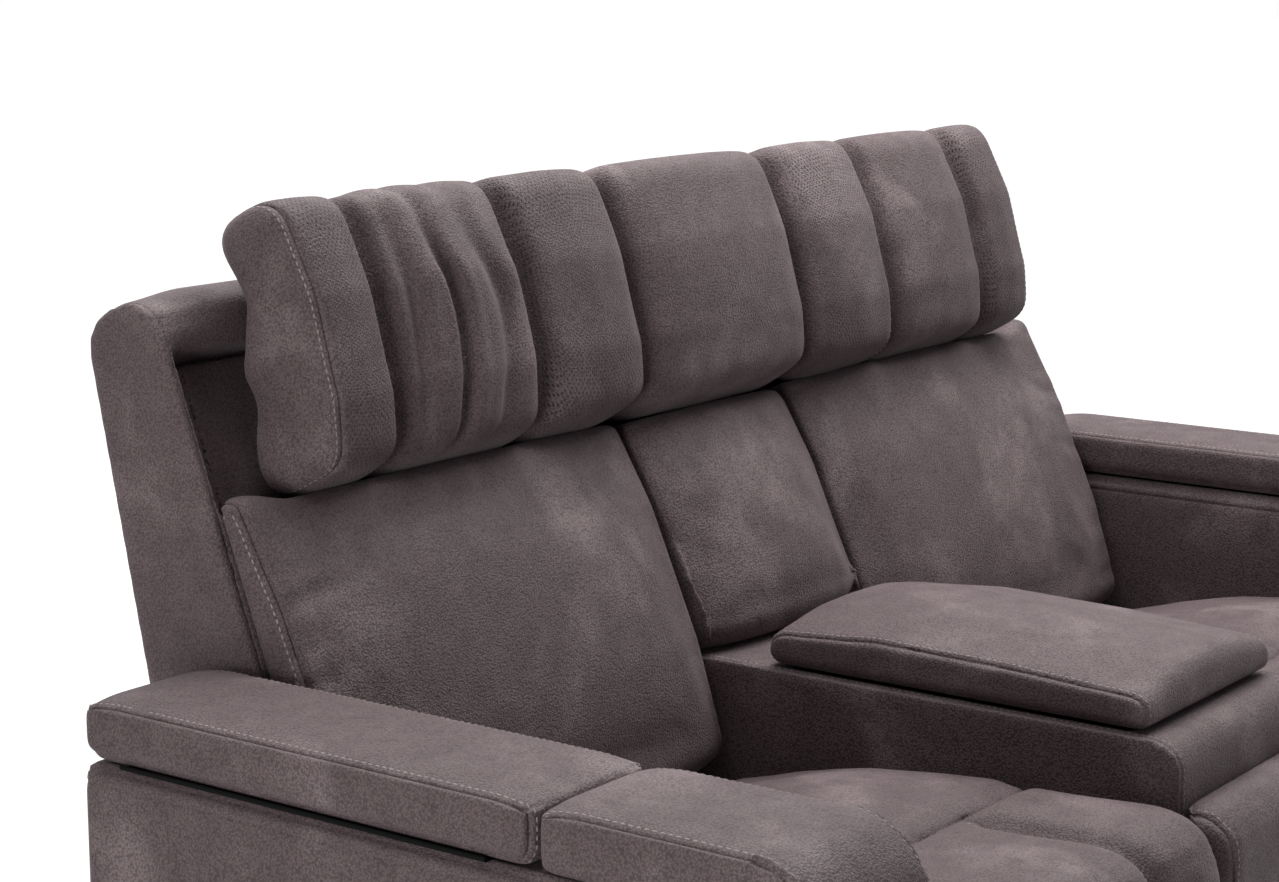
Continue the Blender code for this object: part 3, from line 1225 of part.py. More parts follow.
def main():
    base()
    for tag, side in (("left", -1), ("right", 1)):
        arm(tag, side)
        arm_front_pad(tag, side)
        arm_lid(tag, side)
        arm_lid_hinge(tag, side)
        switch(tag, side, "recline", SWITCH_Z)
        switch(tag, side, "headrest", SWITCH_Z - SWITCH_PITCH)
        seat_unit(tag, side)
    console_box()
    console_lid()
    console_lid_hinge()
    console_front_pad()
    console_back()


main()
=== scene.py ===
# %% [markdown]
# A reclining loveseat with a console, dressed for a studio picture.
# The frame that comes first is the engineer's model: every rail, link and stuffed block at its real size.
# This lesson covers that frame in leather, sews it, and lights it as a catalogue photographer would.

# %% Load the frame
import json
import math

import bmesh
import bpy
import numpy as np
from mathutils import Matrix, Vector

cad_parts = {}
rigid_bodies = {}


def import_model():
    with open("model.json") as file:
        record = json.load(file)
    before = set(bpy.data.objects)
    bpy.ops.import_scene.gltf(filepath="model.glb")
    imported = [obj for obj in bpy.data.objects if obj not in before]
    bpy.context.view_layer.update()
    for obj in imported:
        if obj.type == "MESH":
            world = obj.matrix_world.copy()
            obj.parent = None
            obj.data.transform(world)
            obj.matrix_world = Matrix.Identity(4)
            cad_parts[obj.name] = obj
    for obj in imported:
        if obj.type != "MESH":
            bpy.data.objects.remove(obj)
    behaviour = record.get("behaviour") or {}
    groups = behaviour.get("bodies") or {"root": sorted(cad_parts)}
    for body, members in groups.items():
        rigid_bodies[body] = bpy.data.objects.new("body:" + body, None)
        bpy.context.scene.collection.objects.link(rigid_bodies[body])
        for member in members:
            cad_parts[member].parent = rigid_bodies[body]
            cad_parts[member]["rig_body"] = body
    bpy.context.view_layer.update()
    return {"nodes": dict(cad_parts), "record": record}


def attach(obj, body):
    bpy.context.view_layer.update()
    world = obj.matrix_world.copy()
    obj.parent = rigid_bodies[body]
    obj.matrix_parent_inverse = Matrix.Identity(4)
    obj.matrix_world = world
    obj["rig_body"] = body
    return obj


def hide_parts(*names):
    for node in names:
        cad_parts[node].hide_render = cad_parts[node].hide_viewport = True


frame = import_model()
nodes = frame["nodes"]
scene = bpy.context.scene
scene.view_settings.view_transform = "Standard"

# %% [markdown]
# The camera stands to the left of the loveseat at eye height and looks along the row.
# Its place was solved from the straight edges of the arms, and its lens is given for a sensor 36 mm wide.
# A long lens keeps the far arm nearly as large as the near one, which is how furniture is usually pictured.

# %% Camera
CAMERA_PLACE = (-2.6360, -1.5349, 1.3506)
CAMERA_YAW = math.radians(36.275)
CAMERA_PITCH = math.radians(10.441)
LENS = 77.18
SENSOR_WIDTH = 36.0

camera_data = bpy.data.cameras.new("camera")
camera_data.sensor_width = SENSOR_WIDTH
camera_data.lens = LENS
camera = bpy.data.objects.new("camera", camera_data)
camera.location = CAMERA_PLACE
camera.rotation_euler = (math.pi / 2 - CAMERA_PITCH, 0, CAMERA_YAW - math.pi / 2)
scene.collection.objects.link(camera)
scene.camera = camera
print("camera at", CAMERA_PLACE)

# %% [markdown]
# A product studio is a white room with large soft boxes.
# Three boxes hang overhead, to the right, behind and to the left.
# Seats, arms and lids catch their light first, and the faces that look forward stay a step darker.
# A smaller one stands low at the left and opens the near arm and the ends of the headrests.
# The near arm shades the console from it, so the console side keeps its depth.

# %% Soft boxes
def soft_box(name, place, target, size, power):
    """Square area lamp that looks at a point."""
    lamp = bpy.data.lights.new(name, "AREA")
    lamp.shape = "SQUARE"
    lamp.size = size
    lamp.energy = power
    obj = bpy.data.objects.new(name, lamp)
    obj.location = place
    obj.rotation_euler = (Vector(target) - Vector(place)).to_track_quat("-Z", "Y").to_euler()
    scene.collection.objects.link(obj)
    return obj


LOOK_AT = (0.0, 0.0, 0.55)
LAMPS = (
    ("overhead_right", (1.3, -0.3, 3.1), 2.0, 82.0),
    ("overhead_back", (0.3, 1.0, 3.2), 2.2, 56.0),
    ("overhead_left", (-0.9, 0.6, 3.2), 2.2, 28.0),
    ("left_low", (-3.6, -0.6, 0.6), 1.2, 48.0),
)
for name, lamp_place, size, power in LAMPS:
    soft_box(name, lamp_place, LOOK_AT, size, power)
print("studio:", len(LAMPS), "soft boxes")

# %% [markdown]
# The background is white because it shows as white, not because more light falls on the loveseat.
# Rays that show the background see a bright room and a bright floor.
# All other rays see a dim room, so that the shadow on the floor stays.
# The floor's glow rises with the distance from the loveseat, which hides the horizon.

# %% White room and floor
def shown_ray(tree):
    """1 for rays that show the background: from the camera, in a mirror or through glass."""
    path = tree.nodes.new("ShaderNodeLightPath")
    first = tree.nodes.new("ShaderNodeMath")
    first.operation = "MAXIMUM"
    last = tree.nodes.new("ShaderNodeMath")
    last.operation = "MAXIMUM"
    tree.links.new(path.outputs["Is Camera Ray"], first.inputs[0])
    tree.links.new(path.outputs["Is Glossy Ray"], first.inputs[1])
    tree.links.new(first.outputs[0], last.inputs[0])
    tree.links.new(path.outputs["Is Transmission Ray"], last.inputs[1])
    return last.outputs[0]


ROOM_LIGHT = 0.03
WHITE = (1.0, 1.0, 1.0, 1.0)

world = bpy.data.worlds.new("white_room")
world.use_nodes = True
scene.world = world
tree = world.node_tree
sky = tree.nodes["Background"]
sky.inputs["Color"].default_value = WHITE
level = tree.nodes.new("ShaderNodeMapRange")
level.inputs["To Min"].default_value = ROOM_LIGHT
level.inputs["To Max"].default_value = 1.0
tree.links.new(shown_ray(tree), level.inputs["Value"])
tree.links.new(level.outputs["Result"], sky.inputs["Strength"])

FLOOR_REACH = 40.0
NEAR_FLOOR, NEAR_GLOW = 1.6, 0.62
FAR_FLOOR, FAR_GLOW = 3.4, 1.0
PAPER_TONE = (0.45, 0.45, 0.45, 1.0)

bm = bmesh.new()
bmesh.ops.create_grid(bm, x_segments=1, y_segments=1, size=FLOOR_REACH)
floor_mesh = bpy.data.meshes.new("floor")
bm.to_mesh(floor_mesh)
bm.free()
floor = bpy.data.objects.new("floor", floor_mesh)
scene.collection.objects.link(floor)

paper = bpy.data.materials.new("white_paper")
paper.use_nodes = True
tree = paper.node_tree
shader = tree.nodes["Principled BSDF"]
shader.inputs["Base Color"].default_value = PAPER_TONE
shader.inputs["Roughness"].default_value = 0.9
shader.inputs["Emission Color"].default_value = WHITE
place = tree.nodes.new("ShaderNodeTexCoord")
reach = tree.nodes.new("ShaderNodeVectorMath")
reach.operation = "LENGTH"
tree.links.new(place.outputs["Object"], reach.inputs[0])
fade = tree.nodes.new("ShaderNodeMapRange")
fade.inputs["From Min"].default_value = NEAR_FLOOR
fade.inputs["From Max"].default_value = FAR_FLOOR
fade.inputs["To Min"].default_value = NEAR_GLOW
fade.inputs["To Max"].default_value = FAR_GLOW
tree.links.new(reach.outputs["Value"], fade.inputs["Value"])
glow = tree.nodes.new("ShaderNodeMath")
glow.operation = "MULTIPLY"
tree.links.new(shown_ray(tree), glow.inputs[0])
tree.links.new(fade.outputs["Result"], glow.inputs[1])
tree.links.new(glow.outputs[0], shader.inputs["Emission Strength"])
floor_mesh.materials.append(paper)
print("white room lights the piece at", ROOM_LIGHT)

# %% [markdown]
# The cover is brushed leather: a dark mauve grey with paler clouds where the nap lies the other way, and a
# pebbled grain a couple of millimetres across, with painted light on the pebbles' domes and painted shade in
# their hollows.
# Several finishes share that surface, so it is a node group that puts out a colour, a roughness and a height.

# %% Shared leather surface
def node_group(name, inputs, outputs):
    """Shader node group with named sockets, and its two end nodes."""
    group = bpy.data.node_groups.new(name, "ShaderNodeTree")
    for label, kind, value in inputs:
        socket = group.interface.new_socket(name=label, in_out="INPUT", socket_type=kind)
        if value is not None:
            socket.default_value = value
    for label, kind in outputs:
        group.interface.new_socket(name=label, in_out="OUTPUT", socket_type=kind)
    start = group.nodes.new("NodeGroupInput")
    end = group.nodes.new("NodeGroupOutput")
    return group, start, end


def add(tree, kind, links=(), **values):
    """Node with its values set and its inputs linked."""
    made = tree.nodes.new(kind)
    for label, value in values.items():
        if hasattr(made, label):
            setattr(made, label, value)
        else:
            made.inputs[label.replace("_", " ")].default_value = value
    for socket, label in links:
        tree.links.new(socket, made.inputs[label])
    return made


PATCH_SIZE = 0.16
GRAIN_SIZE = 0.0022
FLECK_HEIGHT = 0.5

brushed, start, end = node_group("brushed_leather", [
    ("Vector", "NodeSocketVector", None),
    ("Tone", "NodeSocketColor", (0.1, 0.1, 0.1, 1.0)),
    ("Pale tone", "NodeSocketColor", (0.2, 0.2, 0.2, 1.0)),
    ("Deep tone", "NodeSocketColor", (0.05, 0.05, 0.05, 1.0)),
], [("Color", "NodeSocketColor"), ("Roughness", "NodeSocketFloat"), ("Height", "NodeSocketFloat")])
vector = start.outputs["Vector"]
cloud = add(brushed, "ShaderNodeTexNoise", [(vector, "Vector")],
            Scale=1 / PATCH_SIZE, Detail=3.0, Roughness=0.55, Distortion=0.5)
cloud_mask = add(brushed, "ShaderNodeMapRange", [(cloud.outputs["Fac"], "Value")],
                 interpolation_type="SMOOTHSTEP", From_Min=0.48, From_Max=0.72)
pale = add(brushed, "ShaderNodeMix", [(cloud_mask.outputs["Result"], 0), (start.outputs["Tone"], 6),
                                      (start.outputs["Pale tone"], 7)], data_type="RGBA")
rub = add(brushed, "ShaderNodeTexNoise", [(vector, "Vector")],
          Scale=5 / PATCH_SIZE, Detail=4.0, Roughness=0.6)
rub_mask = add(brushed, "ShaderNodeMapRange", [(rub.outputs["Fac"], "Value")], From_Min=0.35, From_Max=0.75,
               To_Max=0.30)
deep = add(brushed, "ShaderNodeMix", [(rub_mask.outputs["Result"], 0), (pale.outputs[2], 6),
                                      (start.outputs["Deep tone"], 7)], data_type="RGBA")
pebble = add(brushed, "ShaderNodeTexVoronoi", [(vector, "Vector")], feature="SMOOTH_F1", Scale=1 / GRAIN_SIZE,
             Randomness=1.0, Smoothness=0.25)
fleck = add(brushed, "ShaderNodeTexNoise", [(vector, "Vector")], Scale=0.7 / GRAIN_SIZE, Detail=2.0)
# Painted light and shade of the grain: the colour is lifted on each pebble's dome and darkened in the hollows
# between pebbles.
shade = add(brushed, "ShaderNodeMapRange", [(pebble.outputs["Distance"], "Value")],
            From_Min=0.15, From_Max=0.75, To_Min=1.28, To_Max=0.55)
flecked = add(brushed, "ShaderNodeMapRange", [(fleck.outputs["Fac"], "Value")], From_Min=0.3, From_Max=0.7,
              To_Min=0.95, To_Max=1.05)
# The random fleck tone times the painted light and shade of the pebbles.
fleck_and_painted_grain_shade = add(brushed, "ShaderNodeMath", [(shade.outputs["Result"], 0), (flecked.outputs["Result"], 1)],
            operation="MULTIPLY")
leather_colour_with_painted_grain_shade = add(brushed, "ShaderNodeVectorMath", [(deep.outputs[2], 0)], operation="SCALE")
brushed.links.new(fleck_and_painted_grain_shade.outputs[0], leather_colour_with_painted_grain_shade.inputs["Scale"])
rough = add(brushed, "ShaderNodeMapRange", [(rub.outputs["Fac"], "Value")], From_Min=0.3, From_Max=0.7,
            To_Min=0.56, To_Max=0.72)
domes = add(brushed, "ShaderNodeMath", [(pebble.outputs["Distance"], 1)], operation="SUBTRACT")
domes.inputs[0].default_value = 1.0
fine = add(brushed, "ShaderNodeMath", [(fleck.outputs["Fac"], 0), (domes.outputs[0], 2)],
           operation="MULTIPLY_ADD")
fine.inputs[1].default_value = FLECK_HEIGHT
brushed.links.new(leather_colour_with_painted_grain_shade.outputs[0], end.inputs["Color"])
brushed.links.new(rough.outputs["Result"], end.inputs["Roughness"])
brushed.links.new(fine.outputs[0], end.inputs["Height"])
print("brushed leather: clouds of", PATCH_SIZE, "m, grain of", GRAIN_SIZE, "m")

# %% [markdown]
# The upholstery material places that group and adds the soft sheen of the nap.
# The headrest channels are pierced with rows of small holes, so their material adds a dot pattern.
# Each headrest carries an attribute that says where its pierced panels are, so the rest stays plain.

# %% Upholstery materials
LEATHER_TONE = (0.128, 0.093, 0.097, 1.0)
LEATHER_PALE = (0.232, 0.179, 0.185, 1.0)
LEATHER_DEEP = (0.070, 0.047, 0.051, 1.0)
GRAIN_DEPTH = 0.0009
HOLE_PITCH = 0.0044
HOLE_RADIUS = 0.0008
HOLE_TONE = (0.026, 0.019, 0.020, 1.0)
HOLE_SUNK = -1.2


def leather(name, pierced=False):
    """Brushed leather; pierced panels get rows of small holes."""
    mat = bpy.data.materials.new(name)
    mat.use_nodes = True
    tree = mat.node_tree
    shader = tree.nodes["Principled BSDF"]
    shader.inputs["Sheen Weight"].default_value = 0.10
    shader.inputs["Sheen Roughness"].default_value = 0.45
    shader.inputs["Sheen Tint"].default_value = (0.85, 0.80, 0.82, 1.0)
    shader.inputs["Specular IOR Level"].default_value = 0.22
    place = add(tree, "ShaderNodeTexCoord")
    surface = tree.nodes.new("ShaderNodeGroup")
    surface.node_tree = brushed
    surface.inputs["Tone"].default_value = LEATHER_TONE
    surface.inputs["Pale tone"].default_value = LEATHER_PALE
    surface.inputs["Deep tone"].default_value = LEATHER_DEEP
    tree.links.new(place.outputs["Object"], surface.inputs["Vector"])
    bump = add(tree, "ShaderNodeBump", Strength=0.75, Distance=GRAIN_DEPTH)
    colour = surface.outputs["Color"]
    height = surface.outputs["Height"]
    if pierced:
        colour, height = pierce(tree, colour, height)
    tree.links.new(colour, shader.inputs["Base Color"])
    tree.links.new(surface.outputs["Roughness"], shader.inputs["Roughness"])
    tree.links.new(height, bump.inputs["Height"])
    tree.links.new(bump.outputs["Normal"], shader.inputs["Normal"])
    return mat


def pierce(tree, colour, height):
    """Darken and sink the surface at the holes of a pierced panel."""
    grid = add(tree, "ShaderNodeAttribute", attribute_name="hole_grid")
    turned = add(tree, "ShaderNodeMapping", [(grid.outputs["Vector"], "Vector")])
    turned.inputs["Rotation"].default_value = (0.0, 0.0, math.radians(45))
    turned.inputs["Scale"].default_value = (1 / HOLE_PITCH, 1 / HOLE_PITCH, 0.0)
    wrapped = add(tree, "ShaderNodeVectorMath", [(turned.outputs["Vector"], 0)], operation="FRACTION")
    centred = add(tree, "ShaderNodeVectorMath", [(wrapped.outputs[0], 0)], operation="SUBTRACT")
    centred.inputs[1].default_value = (0.5, 0.5, 0.0)
    reach = add(tree, "ShaderNodeVectorMath", [(centred.outputs[0], 0)], operation="LENGTH")
    hole = add(tree, "ShaderNodeMapRange", [(reach.outputs["Value"], "Value")],
               From_Min=1.4 * HOLE_RADIUS / HOLE_PITCH, From_Max=0.7 * HOLE_RADIUS / HOLE_PITCH)
    panel = add(tree, "ShaderNodeAttribute", attribute_name="pierced")
    mask = add(tree, "ShaderNodeMath", [(hole.outputs["Result"], 0), (panel.outputs["Fac"], 1)],
               operation="MULTIPLY")
    dark = add(tree, "ShaderNodeMix", [(mask.outputs[0], 0), (colour, 6)], data_type="RGBA")
    dark.inputs[7].default_value = HOLE_TONE
    sunk = add(tree, "ShaderNodeMath", [(mask.outputs[0], 0), (height, 2)], operation="MULTIPLY_ADD")
    sunk.inputs[1].default_value = HOLE_SUNK
    return dark.outputs[2], sunk.outputs[0]


UPHOLSTERY = leather("upholstery")
PIERCED = leather("pierced_upholstery", pierced=True)
print("leather finishes:", UPHOLSTERY.name, PIERCED.name)

# %% [markdown]
# Under the covers the loveseat is steel, plywood, moulded plastic and plated hinges.
# These pieces keep the engineer's shape and only need a surface: a powder coat with fine orange peel, veneer
# with long grain, satin plastic and a dark plated metal with faint brushing.

# %% Hard materials
HARD_DEPTH = 0.0002


def hard(name, tone, other_tone, stretch, rough, metallic=0.0, shine=0.5):
    """Two-tone surface whose pattern is a noise stretched along the piece."""
    mat = bpy.data.materials.new(name)
    mat.use_nodes = True
    tree = mat.node_tree
    shader = tree.nodes["Principled BSDF"]
    shader.inputs["Metallic"].default_value = metallic
    shader.inputs["Specular IOR Level"].default_value = shine
    place = add(tree, "ShaderNodeTexCoord")
    turned = add(tree, "ShaderNodeMapping", [(place.outputs["Object"], "Vector")])
    turned.inputs["Scale"].default_value = stretch
    pattern = add(tree, "ShaderNodeTexNoise", [(turned.outputs["Vector"], "Vector")], Scale=1.0, Detail=6.0,
                  Roughness=0.6)
    mix = add(tree, "ShaderNodeMix", [(pattern.outputs["Fac"], 0)], data_type="RGBA")
    mix.inputs[6].default_value = tone
    mix.inputs[7].default_value = other_tone
    dull = add(tree, "ShaderNodeMapRange", [(pattern.outputs["Fac"], "Value")], To_Min=rough - 0.1,
               To_Max=rough + 0.1)
    bump = add(tree, "ShaderNodeBump", [(pattern.outputs["Fac"], "Height")],
               Strength=0.4, Distance=HARD_DEPTH)
    tree.links.new(mix.outputs[2], shader.inputs["Base Color"])
    tree.links.new(dull.outputs["Result"], shader.inputs["Roughness"])
    tree.links.new(bump.outputs["Normal"], shader.inputs["Normal"])
    return mat


hard_looks = {
    "dark_steel": hard("powder_coat", (0.030, 0.030, 0.034, 1), (0.062, 0.062, 0.068, 1),
                       (420, 420, 420), 0.45, metallic=0.4),
    "plywood": hard("plywood", (0.330, 0.215, 0.120, 1), (0.520, 0.370, 0.225, 1), (9, 120, 120), 0.66),
    "black_plastic": hard("satin_plastic", (0.012, 0.012, 0.013, 1), (0.030, 0.030, 0.032, 1),
                          (700, 700, 700), 0.48),
    "zinc_steel": hard("dark_plate", (0.004, 0.004, 0.004, 1), (0.009, 0.008, 0.009, 1),
                       (900, 60, 900), 0.75, shine=0.05),
}
for part in frame["record"]["subparts"]:
    look = hard_looks.get(part["material_slot"])
    if look:
        mesh = nodes[part["node"]].data
        mesh.materials.clear()
        mesh.materials.append(look)
print("hard finishes:", ", ".join(hard_looks))

# %% [markdown]
# Every covered piece starts the same way: a copy of the engineer's block is turned into an even net of small
# quads and eased, so that its chamfers become the soft turn of leather over foam.
# A voxel remesh gives that net whatever the block's own faces are like.
# The small helpers here read a mesh as arrays of points, so that later steps can push it by a formula.
# A finished cover in plain leather is thinned where it is flattest, and each cover takes the block's place on
# the block's body.

# %% Soft copies of the blocks
def settle(obj):
    """Make the modifiers' result the object's own mesh."""
    graph = bpy.context.evaluated_depsgraph_get()
    done = bpy.data.meshes.new_from_object(obj.evaluated_get(graph))
    old = obj.data
    obj.modifiers.clear()
    obj.data = done
    bpy.data.meshes.remove(old)


MERGE_GAP = 0.00002


def soft_copy(name, node, voxel, rounds):
    """Copy of a block as an even net of quads with eased edges."""
    bm = bmesh.new()
    bm.from_mesh(nodes[node].data)
    bmesh.ops.remove_doubles(bm, verts=bm.verts, dist=MERGE_GAP)
    mesh = bpy.data.meshes.new(name)
    bm.to_mesh(mesh)
    bm.free()
    obj = bpy.data.objects.new(name, mesh)
    scene.collection.objects.link(obj)
    remesh = obj.modifiers.new("remesh", "REMESH")
    remesh.mode = "VOXEL"
    remesh.voxel_size = voxel
    ease = obj.modifiers.new("ease", "SMOOTH")
    ease.factor = 0.5
    ease.iterations = rounds
    settle(obj)
    return obj


def points(obj):
    """Vertex places as an array."""
    flat = np.empty(len(obj.data.vertices) * 3)
    obj.data.vertices.foreach_get("co", flat)
    return flat.reshape(-1, 3)


def normals(obj):
    """Vertex normals as an array."""
    flat = np.empty(len(obj.data.vertices) * 3)
    obj.data.vertex_normals.foreach_get("vector", flat)
    return flat.reshape(-1, 3)


def push(obj, amount):
    """Move each vertex along its normal."""
    moved = points(obj) + normals(obj) * amount[:, None]
    obj.data.vertices.foreach_set("co", moved.ravel())
    obj.data.update()


THINNED = 0.68


def thin(obj):
    """Collapse the flattest part of a net, which keeps its shape with fewer faces."""
    fewer = obj.modifiers.new("fewer", "DECIMATE")
    fewer.ratio = THINNED
    settle(obj)


def dress(obj, node, material):
    """Put a finished cover in the block's place, on the block's body."""
    if material is UPHOLSTERY:
        thin(obj)
    obj.data.materials.clear()
    obj.data.materials.append(material)
    obj.data.shade_smooth()
    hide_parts(node)
    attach(obj, nodes[node]["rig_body"])
    return obj


SIDES = {"left": -1, "right": 1}
print("soft copies are ready to make")

# %% [markdown]
# Foam under a sewn cover swells between its seams, and a cloth simulation does that by itself.
# Each net is first drawn in a few millimetres, then blown up from inside with its seams and its underside
# held.
# All cushions share one run of frames, and no point may travel further than a cap, so that a cushion keeps
# to the room the engineer gave it.

# %% Swelling the cushions
SWELL_FRAMES = 18
SWELL_PRESSURE = 4.0
DRAWN_IN = 0.005
SWELL_EVENED = 12


def hold(obj, held):
    """Pin the held points of a cushion for the simulation."""
    group = obj.vertex_groups.new(name="held")
    group.add([int(i) for i in np.flatnonzero(held)], 1.0, "REPLACE")
    cloth = obj.modifiers.new("swell", "CLOTH")
    cloth.settings.quality = 4
    cloth.settings.mass = 0.3
    cloth.settings.tension_stiffness = 18
    cloth.settings.compression_stiffness = 18
    cloth.settings.shear_stiffness = 8
    cloth.settings.bending_stiffness = 1.5
    cloth.settings.use_pressure = True
    cloth.settings.uniform_pressure_force = SWELL_PRESSURE
    cloth.settings.effector_weights.gravity = 0
    cloth.settings.vertex_group_mass = "held"
    cloth.settings.pin_stiffness = 1
    cloth.collision_settings.use_collision = False
    cloth.point_cache.frame_end = SWELL_FRAMES


def evened(obj, value, rounds):
    """Average a value over each point's neighbours, some rounds over."""
    ends = np.empty(len(obj.data.edges) * 2, dtype=np.int32)
    obj.data.edges.foreach_get("vertices", ends)
    first, last = ends[0::2], ends[1::2]
    count = len(value)
    beside = np.bincount(first, minlength=count) + np.bincount(last, minlength=count)
    for turn in range(rounds):
        total = np.bincount(first, value[last], count) + np.bincount(last, value[first], count)
        value = 0.5 * value + 0.5 * total / np.maximum(beside, 1)
    return value


def relax(obj, rounds, share=1.0):
    """Even out a net's points over their neighbours, as much as share says."""
    p = points(obj)
    eased = np.stack([evened(obj, along, rounds) for along in p.T], axis=1)
    p += (eased - p) * np.reshape(share, (-1, 1))
    obj.data.vertices.foreach_set("co", p.ravel())
    obj.data.update()


def swell(jobs):
    """Blow all cushions up together; a point keeps what it swelled outwards, up to a cap."""
    starts = {}
    for obj, held, cap in jobs:
        starts[obj.name] = points(obj), normals(obj)
        push(obj, -DRAWN_IN * ~held)
        hold(obj, held)
    for step in range(1, SWELL_FRAMES + 1):
        scene.frame_set(step)
    for obj, held, cap in jobs:
        settle(obj)
        start, outward = starts[obj.name]
        risen = np.sum((points(obj) - start) * outward, axis=1) + DRAWN_IN * ~held
        risen = evened(obj, np.maximum(cap * np.tanh(risen / cap) - DRAWN_IN, 0), SWELL_EVENED)
        obj.data.vertices.foreach_set("co", (start + outward * risen[:, None]).ravel())
        obj.data.update()
        obj.vertex_groups.clear()
    scene.frame_set(1)


def halve(obj):
    """Divide every quad of a net once, smoothly."""
    finer = obj.modifiers.new("finer", "SUBSURF")
    finer.levels = 1
    finer.render_levels = 1
    settle(obj)


print("cushions swell for", SWELL_FRAMES, "frames")

# %% [markdown]
# A sewn seam is a sharp valley: two panels are turned in and pulled down to the foam.
# A plane is laid through the net to give the valley its own line of edges, and the points near it are pushed
# in, most at the line itself.

# %% Seams
X_AXIS, Y_AXIS, Z_AXIS = 0, 1, 2
NEAR_SEAM = 0.02
CUT_GAP = 0.00001


def near_plane(obj, bm, axis, place, reach):
    """Faces of a net close to a plane, with their edges and corners."""
    centres = np.empty(len(obj.data.polygons) * 3)
    obj.data.polygons.foreach_get("center", centres)
    bm.faces.ensure_lookup_table()
    faces = [bm.faces[i] for i in np.flatnonzero(np.abs(centres[axis::3] - place) < reach)]
    edges = list({edge for face in faces for edge in face.edges})
    verts = list({vert for face in faces for vert in face.verts})
    return verts + edges + faces


def plane_cut(bm, near, axis, place):
    """Lay a line of edges where a plane crosses the net."""
    spot = Vector((0, 0, 0))
    spot[axis] = place
    facing = Vector((0, 0, 0))
    facing[axis] = 1
    return bmesh.ops.bisect_plane(bm, geom=near, dist=CUT_GAP, plane_co=spot, plane_no=facing)


def sew(obj, axis, place, depth, width, where=None):
    """Pull a straight seam in along a plane."""
    bm = bmesh.new()
    bm.from_mesh(obj.data)
    near = near_plane(obj, bm, axis, place, NEAR_SEAM)
    for offset in (-width / 2, 0, width / 2):
        near = plane_cut(bm, near, axis, place + offset)["geom"]
    bm.to_mesh(obj.data)
    bm.free()
    obj.data.update()
    place_of = points(obj)
    dip = depth * np.exp(-np.abs(place_of[:, axis] - place) / width)
    if where is not None:
        dip = dip * where(place_of, normals(obj))
    push(obj, -dip)


print("seams are ready to sew")

# %% [markdown]
# A fold is a valley along a wandering path, with a ridge beside it where the spare leather piles up.
# A pinch is a short straight one, and where foam ends under a pulled seam the cover simply falls away.
# All of them are formulas of where a point lies, built from two curves: a smooth step and a soft hill.

# %% Folds and falls
FOLD_FADE = 0.18
RIDGE_AWAY, RIDGE_WIDE = 2.0, 1.2


def step_up(value, low, high):
    """Smooth rise from 0 to 1."""
    ratio = np.clip((value - low) / (high - low), 0, 1)
    return ratio * ratio * (3 - 2 * ratio)


def hump(value, middle, width):
    """Soft hill of height 1 round a middle."""
    return np.exp(-((value - middle) / width) ** 2)


def crease(obj, across, along, path, depth, width, ridge=0.4):
    """Fold whose place across the cover follows a path of (along, across) points."""
    spots = np.array(path)
    curve = np.polyfit(spots[:, 0], spots[:, 1], 3)
    middle = np.polyval(curve, np.clip(along, spots[0, 0], spots[-1, 0]))
    first, last = spots[0, 0], spots[-1, 0]
    fade = step_up(along, first, first + FOLD_FADE * (last - first))
    fade = fade * (1 - step_up(along, last - FOLD_FADE * (last - first), last))
    gap = (across - middle) / width
    shape = ridge * hump(np.abs(gap), RIDGE_AWAY, RIDGE_WIDE) - hump(gap, 0, 1)
    push(obj, depth * shape * fade)


def pinch(obj, spot, reach, depth, width):
    """Short straight wrinkle that starts at a point and fades out along a reach."""
    start = np.array(spot)
    run = np.array(reach)
    length = np.linalg.norm(run)
    run = run / length
    offset = points(obj) - start
    along = offset @ run
    across = np.linalg.norm(offset - along[:, None] * run, axis=1)
    fade = step_up(along, -0.25 * length, 0.1 * length) * (1 - step_up(along, 0.35 * length, length))
    gap = across / width
    push(obj, depth * fade * (0.35 * hump(gap, 1.9, 0.9) - hump(gap, 0, 1)))


def round_over(obj, axis, place, reach, drop, keep=None):
    """Let a cover fall away towards one of its ends, as foam does under a pulled seam."""
    p = points(obj)
    n = normals(obj)
    near = np.clip(1 - np.abs(p[:, axis] - place) / reach, 0, 1)
    fall = drop * near ** 2 * (1 - np.abs(n[:, axis]))
    if keep is not None:
        fall = fall * keep(p, n)
    push(obj, -fall)


def valley(obj, place, depth, width, keep=None):
    """Wide soft valley beside a front-to-back seam."""
    p = points(obj)
    fall = depth * hump(p[:, 0], place, width)
    if keep is not None:
        fall = fall * keep(p, normals(obj))
    push(obj, -fall)


print("folds, pinches and falls are ready")

# %% [markdown]
# Topstitching shows as a row of short thread dashes beside a seam.
# A plane parallel to the seam is laid through the finished cover, and the line it cuts is walked at an even
# pitch.
# Each dash is a small ball stretched along that line and half sunk in the leather.

# %% Topstitching
STITCH_LENGTH = 0.0054
STITCH_PITCH = 0.0078
STITCH_WIDE = 0.0009
STITCH_HIGH = 0.0005
STITCH_BESIDE = 0.0055
LOOK_AHEAD = 0.002
DASHES_AT_ONCE = 20

thread = hard("sewing_thread", (0.250, 0.200, 0.204, 1), (0.360, 0.300, 0.305, 1), (900, 900, 900), 0.7)


